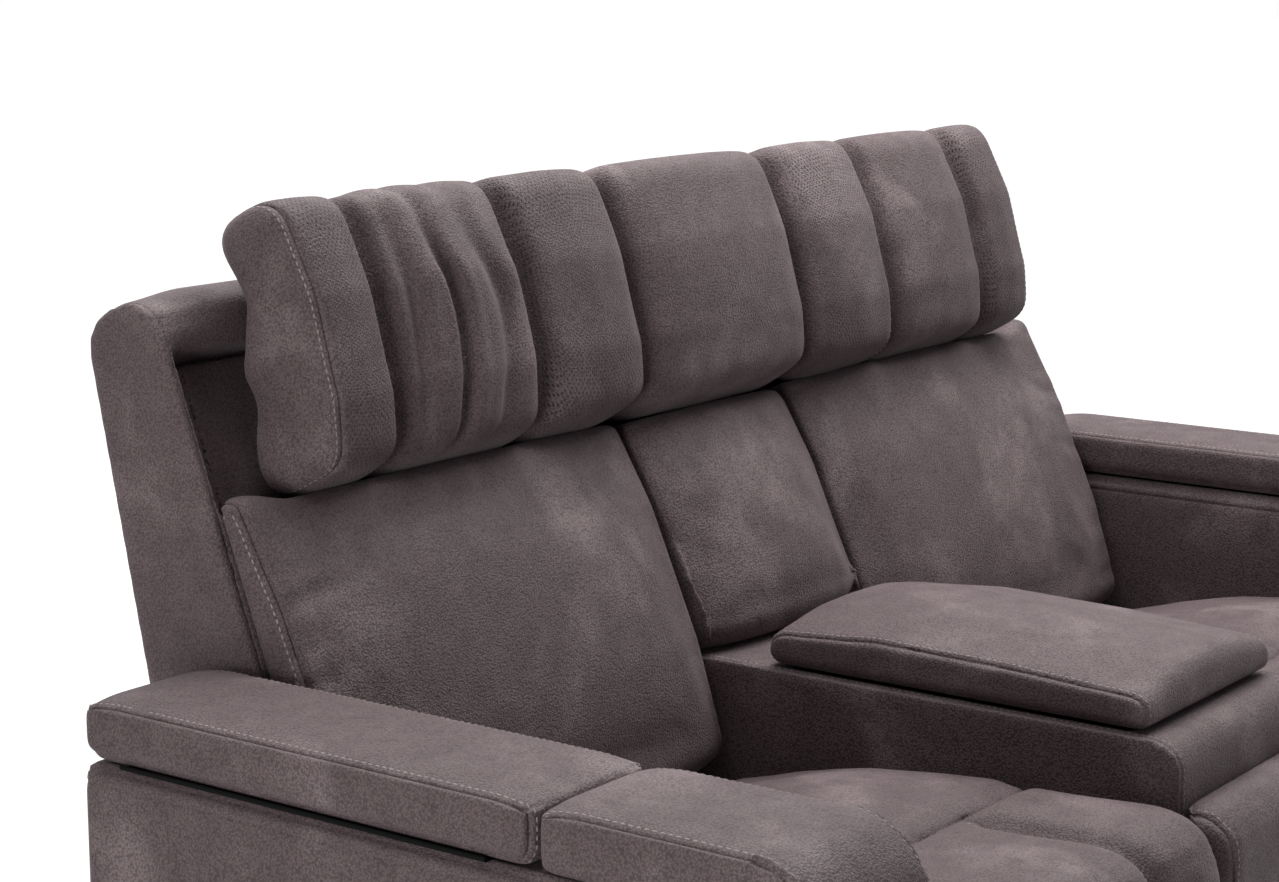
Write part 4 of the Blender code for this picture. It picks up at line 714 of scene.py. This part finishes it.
def section(obj, axis, place):
    """Ordered runs of (point, normal) where a plane meets a cover."""
    bm = bmesh.new()
    bm.from_mesh(obj.data)
    cut = plane_cut(bm, near_plane(obj, bm, axis, place, NEAR_SEAM), axis, place)["geom_cut"]
    bm.normal_update()
    beside = {}
    for edge in cut:
        if isinstance(edge, bmesh.types.BMEdge):
            first, last = edge.verts
            beside.setdefault(first, []).append(last)
            beside.setdefault(last, []).append(first)
    runs = []
    while beside:
        spot = next(iter(beside))
        run = []
        while spot is not None:
            run.append((*spot.co, *spot.normal))
            following = beside.pop(spot)
            spot = next((vert for vert in following if vert in beside), None)
        runs.append(np.array(run))
    bm.free()
    return runs


def dash(bm, spot, ahead):
    """One dash of thread at a (point, normal), laid towards the point ahead."""
    forward = Vector(ahead - spot[:3]).normalized()
    up = Vector(spot[3:]).normalized()
    side = forward.cross(up).normalized()
    turn = Matrix((forward, side, side.cross(forward))).transposed().to_4x4()
    size = Matrix.Diagonal((STITCH_LENGTH / 2, STITCH_WIDE, STITCH_HIGH, 1))
    there = Matrix.Translation(Vector(spot[:3]))
    bmesh.ops.create_uvsphere(bm, u_segments=6, v_segments=4, radius=1, matrix=there @ turn @ size)


def walk(run, keep):
    """Places of the dashes along one run, with the point just ahead of each."""
    gaps = np.linalg.norm(np.diff(run[:, :3], axis=0), axis=1)
    way = np.concatenate([[0.0], np.cumsum(gaps)])
    for at in np.arange(STITCH_PITCH, way[-1] - STITCH_PITCH, STITCH_PITCH):
        spot = np.array([np.interp(at, way, run[:, k]) for k in range(6)])
        ahead = np.array([np.interp(at + LOOK_AHEAD, way, run[:, k]) for k in range(3)])
        if keep(spot[:3], spot[3:]):
            yield spot, ahead


def stitch_row(name, cover, node, rows, keep):
    """Thread dashes along plane sections of a cover, where keep says so."""
    mesh = bpy.data.meshes.new(name)
    places = [at for axis, place in rows for run in section(cover, axis, place) for at in walk(run, keep)]
    whole = bmesh.new()
    for first in range(0, len(places), DASHES_AT_ONCE):
        few = bmesh.new()
        for spot, ahead in places[first:first + DASHES_AT_ONCE]:
            dash(few, spot, ahead)
        few.to_mesh(mesh)
        few.free()
        whole.from_mesh(mesh)
    whole.to_mesh(mesh)
    whole.free()
    mesh.materials.append(thread)
    obj = bpy.data.objects.new(name, mesh)
    scene.collection.objects.link(obj)
    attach(obj, nodes[node]["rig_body"])
    print(name, len(places), "stitches")
    return obj


print("thread:", thread.name)

# %% [markdown]
# The backs lean, so their pads are easiest to describe in the leaning frame: how far up the back a point lies
# and how far it stands out from it.
# Two helpers turn the model's own axes into those two numbers.

# %% The leaning frame of the backs
BACK_RAKE = math.radians(20.85)
BACK_PIVOT_Y, BACK_PIVOT_Z = 0.200, 0.330


def up_back(p):
    """How far up the leaning back each point lies."""
    return (p[:, 1] - BACK_PIVOT_Y) * math.sin(BACK_RAKE) + (p[:, 2] - BACK_PIVOT_Z) * math.cos(BACK_RAKE)


def out_of_back(p):
    """How far each point stands out in front of the leaning back."""
    return (p[:, 2] - BACK_PIVOT_Z) * math.sin(BACK_RAKE) - (p[:, 1] - BACK_PIVOT_Y) * math.cos(BACK_RAKE)


print("backs lean by", round(math.degrees(BACK_RAKE), 1), "degrees")

# %% [markdown]
# The arms, the console and the three backs are frames with a thin layer of foam and leather pulled tight over
# them.
# They need no swelling: an eased copy with its panel seams sewn in is what the real cover looks like.
# There is a lip just under each arm lid, and an edge seam round the side panel of each wing.
# The wing's cover is thinner than its block above the lower pad, and the panel beside it widens to meet it.

# %% Covers over the frames
COVER_NET = 0.006
PANEL_NET = 0.004
EDGE_SEAM = 0.0022
SEAM_WIDTH = 0.0026

X_SIDE = 0.977
X_ARM = 0.807
X_OUT = 0.800
ARM_LIP = 0.582
LID_SHADOW = 0.004
LID_SHADOW_FROM = (0.588, 0.596)
CONSOLE_EDGE = 0.156
CONSOLE_BACK_EDGE = 0.154
CONSOLE_STITCH = 0.006

WING_PANEL = 0.789
WING_INNER = 0.755
WING_DRAWN = 0.028
WING_PROUD = (0.006, 0.018)
WING_ABOVE_PAD = (0.440, 0.495)
RAIL_CROWN = 0.007
RAIL_HEIGHT = (0.655, 0.690)
RAIL_ENDS = (0.010, 0.090)
PANEL_EDGE = (0.690, 0.745)
PANEL_SPREAD = 0.022
PANEL_SEAM_INSET = 0.012


def slide(obj, axis, amount):
    """Move each vertex along one of the model's axes."""
    p = points(obj)
    p[:, axis] += amount
    obj.data.vertices.foreach_set("co", p.ravel())
    obj.data.update()


def thin_wing(shell, way):
    """Draw the wing's inner side out towards its panel, and crown the rail between the wings."""
    p = points(shell)
    across = np.abs(p[:, 0])
    proud = step_up(out_of_back(p), *WING_PROUD) * step_up(up_back(p), *WING_ABOVE_PAD)
    inner = step_up(across, WING_INNER - 0.012, WING_INNER + 0.002)
    depth = np.clip((X_OUT - across) / (X_OUT - WING_INNER), 0, 1)
    slide(shell, X_AXIS, way * WING_DRAWN * proud * inner * depth)
    p = points(shell)
    rail = step_up(up_back(p), *RAIL_HEIGHT) * step_up(X_OUT - np.abs(p[:, 0]), *RAIL_ENDS)
    push(shell, RAIL_CROWN * rail)


covered = {}
for side, way in SIDES.items():
    node = side + "_arm_body"
    arm = soft_copy(node + "_cover", node, COVER_NET, 2)
    sew(arm, Z_AXIS, ARM_LIP, EDGE_SEAM, SEAM_WIDTH, lambda p, n: (np.abs(n[:, X_AXIS]) > 0.6) * 1.0)
    under_lid = step_up(points(arm)[:, 2], *LID_SHADOW_FROM) * (np.abs(normals(arm)[:, X_AXIS]) > 0.3)
    push(arm, -LID_SHADOW * under_lid)
    covered[node] = dress(arm, node, UPHOLSTERY)
    node = side + "_back_shell"
    shell = soft_copy(node + "_cover", node, COVER_NET, 3)
    thin_wing(shell, way)
    sew(shell, X_AXIS, way * WING_PANEL, EDGE_SEAM, SEAM_WIDTH)
    covered[node] = dress(shell, node, UPHOLSTERY)
    node = side + "_back_panel"
    panel = soft_copy(node + "_cover", node, PANEL_NET, 3)
    slide(panel, X_AXIS, way * PANEL_SPREAD * step_up(np.abs(points(panel)[:, 0]), *PANEL_EDGE))
    sew(panel, X_AXIS, way * (PANEL_EDGE[1] + PANEL_SPREAD - PANEL_SEAM_INSET), EDGE_SEAM, SEAM_WIDTH)
    covered[node] = dress(panel, node, UPHOLSTERY)
for node, edge in (("console_box", CONSOLE_EDGE), ("console_back_shell", CONSOLE_BACK_EDGE)):
    cover = soft_copy(node + "_cover", node, COVER_NET, 2)
    for way in SIDES.values():
        sew(cover, X_AXIS, way * edge, EDGE_SEAM, SEAM_WIDTH)
    covered[node] = dress(cover, node, UPHOLSTERY)


def console_edge(spot, facing):
    """Along the console's top edges and down its front."""
    return facing[2] > 0.3 and spot[2] > 0.5 or facing[1] < -0.5


rows = [(X_AXIS, way * (CONSOLE_EDGE - CONSOLE_STITCH)) for way in SIDES.values()]
stitch_row("console_box_stitches", covered["console_box"], "console_box", rows, console_edge)
print("covers:", {name: len(obj.data.polygons) for name, obj in covered.items()})

# %% [markdown]
# Now the stuffed pieces are netted, and all but the arm lids, the arm fronts and the console front are blown
# up, in one run.
# Held points are the seams, which stay down, and whatever rests on the frame behind or below.

# %% Netting and swelling the pads
SEAT_SEAMS = (0.310, 0.658)
SEAT_CROSS = -0.235
HEAD_SEAMS = (0.360, 0.591)
HELD_SEAM = 0.006
SEAT_CAP = 0.016
BACK_CAP = 0.016
HEAD_CAP = 0.014
FOOT_CAP = 0.012
LID_CAP = 0.008


def on_seam(p, seams):
    """Points on front-to-back seams."""
    return np.any([np.abs(np.abs(p[:, 0]) - seam) < HELD_SEAM for seam in seams], axis=0)


pads = {}
jobs = []
for node, voxel, rounds in (
    ("console_lid", 0.005, 3), ("console_back_pad", 0.006, 7), ("console_head_pad", 0.006, 7),
    *((side + "_back_pad", 0.007, 4) for side in SIDES),
    *((side + "_headrest_pad", 0.006, 5) for side in SIDES),
    *((side + "_seat_cushion", 0.007, 8) for side in SIDES),
    *((side + "_footrest_pad", 0.007, 4) for side in SIDES),
    *((side + "_arm_lid", 0.005, 4) for side in SIDES),
    *((side + "_arm_front_pad", 0.005, 10) for side in SIDES),
    ("console_front_pad", 0.006, 4),
):
    pads[node] = soft_copy(node + "_cover", node, voxel, rounds)
for node, obj in pads.items():
    p = points(obj)
    n = normals(obj)
    if node.endswith("seat_cushion"):
        held = (n[:, 2] < 0.1) | (on_seam(p, SEAT_SEAMS) & (p[:, 1] < SEAT_CROSS))
        held |= np.abs(p[:, 1] - SEAT_CROSS) < HELD_SEAM
        jobs.append((obj, held, SEAT_CAP))
    elif node.endswith("headrest_pad"):
        held = (n[:, 1] > 0.5) | on_seam(p, HEAD_SEAMS)
        jobs.append((obj, held, HEAD_CAP))
    elif node.endswith(("back_pad", "head_pad")):
        jobs.append((obj, n[:, 1] > 0.2, BACK_CAP))
    elif node.endswith("footrest_pad"):
        jobs.append((obj, (n[:, 1] > -0.3) | on_seam(p, SEAT_SEAMS), FOOT_CAP))
    elif node == "console_lid":
        jobs.append((obj, n[:, 2] < 0.3, LID_CAP))
swell(jobs)
for node, obj in pads.items():
    halve(obj)
print("pads:", {name: len(obj.data.polygons) for name, obj in pads.items()})

# %% [markdown]
# The lids and the arm fronts are boxed cushions: a crowned top panel meets straight side strips in an edge
# seam, and a row of thick topstitching runs beside it on the top panel.
# The fronts of the arms roll over in a round arc, which the block only has in chords.

# %% Arm lids, arm fronts and the console lid
BOX_SEAM = 0.0032
BOX_STITCH = 0.0065
BOX_DOME = (0.05, 0.006)
ARM_SEAM_INSET = 0.0065
CONSOLE_PAD_SEAM = 0.152
LID_SEAM = 0.1512
LID_CROWN = (0.09, 0.005)
LID_SHOULDER = (0.575, 0.600)
ROLL_MIDDLE = (-0.4164, 0.5870)
ROLL_RADIUS = 0.075


def upward(spot, facing):
    """Along the top of a boxed cushion and down its front."""
    return facing[2] > -0.2 or facing[1] < -0.6


def on_top(p, n):
    """1 where a cover faces up."""
    return step_up(n[:, 2], 0.3, 0.8)


def dome(cover, reach, drop):
    """Let the top panel fall away towards its four edges."""
    low = points(cover).min(axis=0)
    high = points(cover).max(axis=0)
    for axis in (X_AXIS, Y_AXIS):
        for place in (low[axis], high[axis]):
            round_over(cover, axis, place, reach, drop, on_top)


def crown(cover, reach, drop):
    """Let the long edges of a lid sink as a whole, so that its top is domed and its sides stay upright."""
    p = points(cover)
    edge = np.abs(p[:, 0])
    near = np.clip(1 - (edge.max() - edge) / reach, 0, 1) ** 2
    slide(cover, Z_AXIS, -drop * near * step_up(p[:, 2], *LID_SHOULDER))


def true_round(cover, middle_y, middle_z, radius):
    """Turn the chords of a rolled front into a round arc."""
    p = points(cover)
    off_y, off_z = p[:, 1] - middle_y, p[:, 2] - middle_z
    far = np.hypot(off_y, off_z)
    on_arc = step_up(far, radius - 0.0045, radius - 0.0025) * (off_y < 0) * (off_z > 0)
    grow = 1 + on_arc * (radius / far - 1)
    p[:, 1] = middle_y + off_y * grow
    p[:, 2] = middle_z + off_z * grow
    cover.data.vertices.foreach_set("co", p.ravel())
    cover.data.update()


def boxed(node, seams):
    """Sew the edge seams of a boxed cushion and topstitch its top panel."""
    cover = pads[node]
    middle = points(cover)[:, 0].mean()
    dome(cover, *BOX_DOME)
    rows = []
    for place in seams:
        sew(cover, X_AXIS, place, BOX_SEAM, SEAM_WIDTH)
        rows.append(place + (BOX_STITCH if place < middle else -BOX_STITCH))
    dress(cover, node, UPHOLSTERY)
    stitch_row(node + "_stitches", cover, node, [(X_AXIS, row) for row in rows], upward)


for side, way in SIDES.items():
    ends = sorted((way * (X_SIDE - ARM_SEAM_INSET), way * (X_ARM + ARM_SEAM_INSET)))
    boxed(side + "_arm_lid", ends)
    true_round(pads[side + "_arm_front_pad"], *ROLL_MIDDLE, ROLL_RADIUS)
    boxed(side + "_arm_front_pad", ends)
boxed("console_front_pad", (-CONSOLE_PAD_SEAM, CONSOLE_PAD_SEAM))
lid = pads["console_lid"]
crown(lid, *LID_CROWN)
for way in SIDES.values():
    sew(lid, X_AXIS, way * LID_SEAM, BOX_SEAM, SEAM_WIDTH)
dress(lid, "console_lid", UPHOLSTERY)
rows = [(X_AXIS, way * (LID_SEAM - STITCH_BESIDE)) for way in SIDES.values()]
stitch_row("console_lid_stitches", lid, "console_lid", rows, upward)

# %% [markdown]
# The seat cushions have one seam across, where the rolled front begins, and two that run forward from it.
# The seat is filled a little behind that seam and at the shoulder of the roll, where foam is thickest.
# The footrest pads carry on the same front-to-back seams below the roll.

# %% Seats and footrests
SEAT_SEAM = 0.005
SEAT_SEAM_WIDTH = 0.006
CROSS_SEAM_WIDTH = 0.004
SEAT_STITCH = 0.006
SEAT_BEHIND = 0.007
SEAT_SHOULDER = 0.006
SEAT_BED = 0.005


def showing(spot, facing):
    """On the part of the rolled front that is seen."""
    return spot[1] < SEAT_CROSS - 0.004 and (facing[2] > 0.05 or facing[1] < -0.5)


def rolled_front(p, n):
    """1 on the rolled front of a seat, from the crosswise seam forward."""
    return step_up(n[:, 2] - n[:, 1], 0.0, 0.4) * step_up(SEAT_CROSS - p[:, 1], -0.004, 0.006)


def fill_seat(seat):
    """Fill the seat behind the crosswise seam and the shoulder of the rolled front."""
    p = points(seat)
    behind = step_up(p[:, 1], SEAT_CROSS - 0.010, SEAT_CROSS + 0.040) * (1 - step_up(p[:, 1], -0.06, 0.08))
    shoulder = step_up(-p[:, 1], 0.28, 0.42)
    bed = hump(p[:, 1], SEAT_CROSS, 0.018)
    fill = SEAT_BEHIND * behind + SEAT_SHOULDER * shoulder + SEAT_BED * bed
    push(seat, fill * step_up(normals(seat)[:, 2], 0.3, 0.8))


for side, way in SIDES.items():
    node = side + "_seat_cushion"
    seat = pads[node]
    fill_seat(seat)
    for seam in SEAT_SEAMS:
        sew(seat, X_AXIS, way * seam, SEAT_SEAM, SEAT_SEAM_WIDTH, rolled_front)
    sew(seat, Y_AXIS, SEAT_CROSS, SEAT_SEAM, CROSS_SEAM_WIDTH, lambda p, n: step_up(n[:, 2], 0.0, 0.4))
    dress(seat, node, UPHOLSTERY)
    rows = [(X_AXIS, way * (SEAT_SEAMS[0] + SEAT_STITCH)), (X_AXIS, way * (SEAT_SEAMS[1] - SEAT_STITCH))]
    stitch_row(node + "_stitches", seat, node, rows, showing)
    node = side + "_footrest_pad"
    foot = pads[node]
    for seam in SEAT_SEAMS:
        sew(foot, X_AXIS, way * seam, SEAT_SEAM, SEAT_SEAM_WIDTH, lambda p, n: step_up(-n[:, 1], 0.0, 0.4))
    dress(foot, node, UPHOLSTERY)
print("seats and footrests sewn")

# %% [markdown]
# A lower back pad is one crowned front panel on a narrow boxing strip.
# The strip's seam is topstitched, and short wrinkles run from it where the corners of the foam push.

# %% Lower back pads
PAD_BOX_SEAM = 0.786
PAD_SEAM_DEPTH, PAD_SEAM_WIDTH = 0.0050, 0.0024
PAD_INNER_EDGE = 0.172
PAD_INNER_FALL = (0.07, 0.012)
CENTRE_EDGE = 0.163
CENTRE_PAD_FALL = (0.06, 0.012)
PAD_TOP_FULL = 0.004
PAD_TOP = (0.455, 0.478)
PAD_CORNER = 0.014
PAD_CORNER_SPAN = (0.705, 0.775)
PAD_CORNER_RISE = (0.40, 0.48)
PAD_FRONT = 0.100
WRINKLE_EDGE = 0.776
WRINKLE_WIDTH = 0.010
PAD_WRINKLES = (
    (0.12, 0.10, -0.1, 0.0016),
    (0.19, 0.07, -0.1, 0.0012),
    (0.30, 0.11, 0.15, 0.0018),
    (0.38, 0.09, 0.15, 0.0024),
)


def facing_out(p, n):
    """1 where a pad faces the sitter."""
    return step_up(-n[:, 1], 0.0, 0.5)


def lift_corner(pad):
    """Fill the top of a lower pad and raise its outer top corner."""
    top = step_up(up_back(points(pad)), *PAD_TOP) * step_up(normals(pad)[:, 2], 0.2, 0.7)
    push(pad, PAD_TOP_FULL * top)
    p = points(pad)
    lift = PAD_CORNER * step_up(np.abs(p[:, 0]), *PAD_CORNER_SPAN) * step_up(up_back(p), *PAD_CORNER_RISE)
    slide(pad, Y_AXIS, lift * math.sin(BACK_RAKE))
    slide(pad, Z_AXIS, lift * math.cos(BACK_RAKE))


def wrinkle(pad, way):
    """Short wrinkles that run inwards from the outer seam."""
    for height, reach, slope, deep in PAD_WRINKLES:
        spot = (way * WRINKLE_EDGE,
                BACK_PIVOT_Y + height * math.sin(BACK_RAKE) - PAD_FRONT * math.cos(BACK_RAKE),
                BACK_PIVOT_Z + height * math.cos(BACK_RAKE) + PAD_FRONT * math.sin(BACK_RAKE))
        pinch(pad, spot, (-way * reach, 0.0, reach * slope), deep, WRINKLE_WIDTH)


for side, way in SIDES.items():
    node = side + "_back_pad"
    pad = pads[node]
    round_over(pad, X_AXIS, way * PAD_INNER_EDGE, *PAD_INNER_FALL, facing_out)
    lift_corner(pad)
    sew(pad, X_AXIS, way * PAD_BOX_SEAM, PAD_SEAM_DEPTH, PAD_SEAM_WIDTH)
    wrinkle(pad, way)
    dress(pad, node, UPHOLSTERY)
    stitch_row(node + "_stitches", pad, node, [(X_AXIS, way * (PAD_BOX_SEAM + STITCH_BESIDE))],
               lambda spot, facing: facing[1] < 0.35)
pad = pads["console_back_pad"]
for way in SIDES.values():
    round_over(pad, X_AXIS, way * CENTRE_EDGE, *CENTRE_PAD_FALL, facing_out)
dress(pad, "console_back_pad", UPHOLSTERY)
print("lower back pads sewn")

# %% [markdown]
# The headrests have three channels.
# The outer and inner ones are pierced leather pulled smooth; the middle of the left headrest is gathered into
# folds that run from its top seam to its bottom seam, and the right one lies nearly flat.
# Points are described by the turn round the headrest's own middle: 0 at the lower edge, 0.5 in front and 1 on
# top.

# %% Shape of a headrest
HEAD_LOWER_FULL = 0.005
HEAD_LOWER_SPAN = 0.16
HEAD_TOP_ROUND = 0.013
HEAD_TOP_TURN = (1.16, 0.07)
HEAD_WAIST = 0.022
HEAD_WAIST_PLACE = (0.585, 0.032)
HEAD_REAR_FULL = 0.010
HEAD_REAR_PLACE = (0.735, 0.025)
HEAD_EASED = 60


def turn_round(p):
    """Turn of each point round the headrest's length."""
    v = up_back(p)
    n = out_of_back(p)
    middle_v = (v.min() + v.max()) / 2
    middle_n = (n.min() + n.max()) / 2
    return 0.5 + np.arctan2(v - middle_v, n - middle_n) / math.pi


def below_top(p, n):
    """1 in front and below, little on the top edge, where the seams lie almost level."""
    return 1 - 0.8 * step_up(turn_round(p), 0.62, 0.86)


def fill_out(head):
    """Fill the lower edge, round the rear top edge, and draw in a waist behind the outer end."""
    turn = turn_round(points(head))
    full = HEAD_LOWER_FULL * hump(turn, 0, HEAD_LOWER_SPAN)
    push(head, full - HEAD_TOP_ROUND * hump(turn, *HEAD_TOP_TURN))
    p = points(head)
    ends = step_up(np.abs(p[:, 0]), 0.60, 0.68)
    rear = 1 - step_up(out_of_back(p), 0.055, 0.100)
    waist = HEAD_WAIST * hump(up_back(p), *HEAD_WAIST_PLACE)
    waist -= HEAD_REAR_FULL * hump(up_back(p), *HEAD_REAR_PLACE)
    slide(head, Y_AXIS, -waist * ends * rear * math.cos(BACK_RAKE))
    slide(head, Z_AXIS, waist * ends * rear * math.sin(BACK_RAKE))
    p = points(head)
    behind = 1 - step_up(out_of_back(p), 0.085, 0.125)
    relax(head, HEAD_EASED, step_up(np.abs(p[:, 0]), 0.64, 0.69) * behind)


print("headrests: waist of", HEAD_WAIST, "m behind the outer ends")

# %% [markdown]
# The material sets the holes on a square grid that is turned by 45 degrees.
# Where a point lies on that grid is stored here: one number along the headrest, the other round its turn.
# The folds are drawn as paths of (turn, share of the channel's width), each with a depth and a width.

# %% Pierced panels and folds
HEAD_END_SEAM = 0.692
HEAD_ROUND = 0.11
HEAD_PIERCED_FROM = 0.190


def pierced_panels(obj, way):
    """Mark the pierced channels and lay out the grid of their holes."""
    p = points(obj)
    turn = turn_round(p)
    across = p[:, 0] * way
    inner = step_up(HEAD_SEAMS[0] - across, 0.006, 0.010)
    inner = inner * step_up(across, HEAD_PIERCED_FROM, HEAD_PIERCED_FROM + 0.006)
    outer = step_up(across - HEAD_SEAMS[1], 0.006, 0.010) * step_up(HEAD_END_SEAM - across, 0.004, 0.010)
    mask = obj.data.attributes.new("pierced", "FLOAT", "POINT")
    mask.data.foreach_set("value", np.maximum(inner, outer))
    grid = obj.data.attributes.new("hole_grid", "FLOAT_VECTOR", "POINT")
    laid = np.stack([p[:, 0], turn * math.pi * HEAD_ROUND, np.zeros(len(p))], axis=1)
    grid.data.foreach_set("vector", laid.ravel())


HEAD_CHANNEL = HEAD_SEAMS[1] - HEAD_SEAMS[0]
FOLDS = (
    (((0.00, 0.10), (0.30, 0.14), (0.55, 0.17), (0.80, 0.14), (1.08, 0.06)), 0.009, 0.010),
    (((-0.02, 0.28), (0.25, 0.39), (0.50, 0.43), (0.75, 0.37), (1.06, 0.20)), 0.013, 0.009),
    (((-0.02, 0.55), (0.25, 0.72), (0.50, 0.75), (0.75, 0.66), (1.06, 0.42)), 0.009, 0.016),
)


def gather(head):
    """Fold the middle channel of a headrest."""
    for path, depth, width in FOLDS:
        p = points(head)
        across = (HEAD_SEAMS[1] - np.abs(p[:, 0])) / HEAD_CHANNEL
        inside = step_up(across, -0.06, 0.06) * (1 - step_up(across, 0.94, 1.06))
        strength = depth * inside * below_top(p, None)
        crease(head, across, turn_round(p), path, strength, width / HEAD_CHANNEL)


print("folds in the left headrest:", len(FOLDS))

# %% [markdown]
# With these helpers each side headrest is shaped, gathered if it is the left one, evened and sewn, in that
# order.
# Sewing comes last so that the seams stay sharp.
# The centre one is a plain cushion with a pinch at its left seam.

# %% Headrests
HEAD_REAR_SEAM = 0.702
HEAD_INNER_EDGE = 0.173
HEAD_INNER_FALL = (0.06, 0.016)
HEAD_VALLEY = {"left": (0.006, 0.020), "right": (0.003, 0.014)}
HEAD_EVENED = 4
CHANNEL_SEAM = (0.004, 0.004)
END_SEAM = (0.0042, 0.0024)
REAR_SEAM = (0.0010, 0.0020)
CENTRE_HEAD_FALL = (0.06, 0.014)
CENTRE_PINCH = ((-0.150, 0.200, 1.000), (0.060, 0.0, 0.010), 0.003, 0.010)

for side, way in SIDES.items():
    node = side + "_headrest_pad"
    head = pads[node]
    round_over(head, X_AXIS, way * HEAD_INNER_EDGE, *HEAD_INNER_FALL, below_top)
    fill_out(head)
    deep, wide = HEAD_VALLEY[side]
    for seam in HEAD_SEAMS:
        valley(head, way * seam, deep, wide, below_top)
    if side == "left":
        gather(head)
    relax(head, HEAD_EVENED)
    for seam in HEAD_SEAMS:
        sew(head, X_AXIS, way * seam, *CHANNEL_SEAM)
    sew(head, X_AXIS, way * HEAD_END_SEAM, *END_SEAM)
    sew(head, X_AXIS, way * HEAD_REAR_SEAM, *REAR_SEAM, lambda p, n: step_up(turn_round(p), 0.98, 1.05))
    pierced_panels(head, way)
    dress(head, node, PIERCED)
    rows = [(X_AXIS, way * (HEAD_END_SEAM + STITCH_BESIDE))]
    if side == "right":
        rows.append((X_AXIS, HEAD_SEAMS[0] + STITCH_BESIDE))
    stitch_row(node + "_stitches", head, node, rows, lambda spot, facing: facing[1] < 0.3)
head = pads["console_head_pad"]
for way in SIDES.values():
    round_over(head, X_AXIS, way * CENTRE_EDGE, *CENTRE_HEAD_FALL, below_top)
push(head, HEAD_LOWER_FULL * hump(turn_round(points(head)), 0, HEAD_LOWER_SPAN))
pinch(head, *CENTRE_PINCH)
dress(head, "console_head_pad", UPHOLSTERY)
print("headrests sewn")
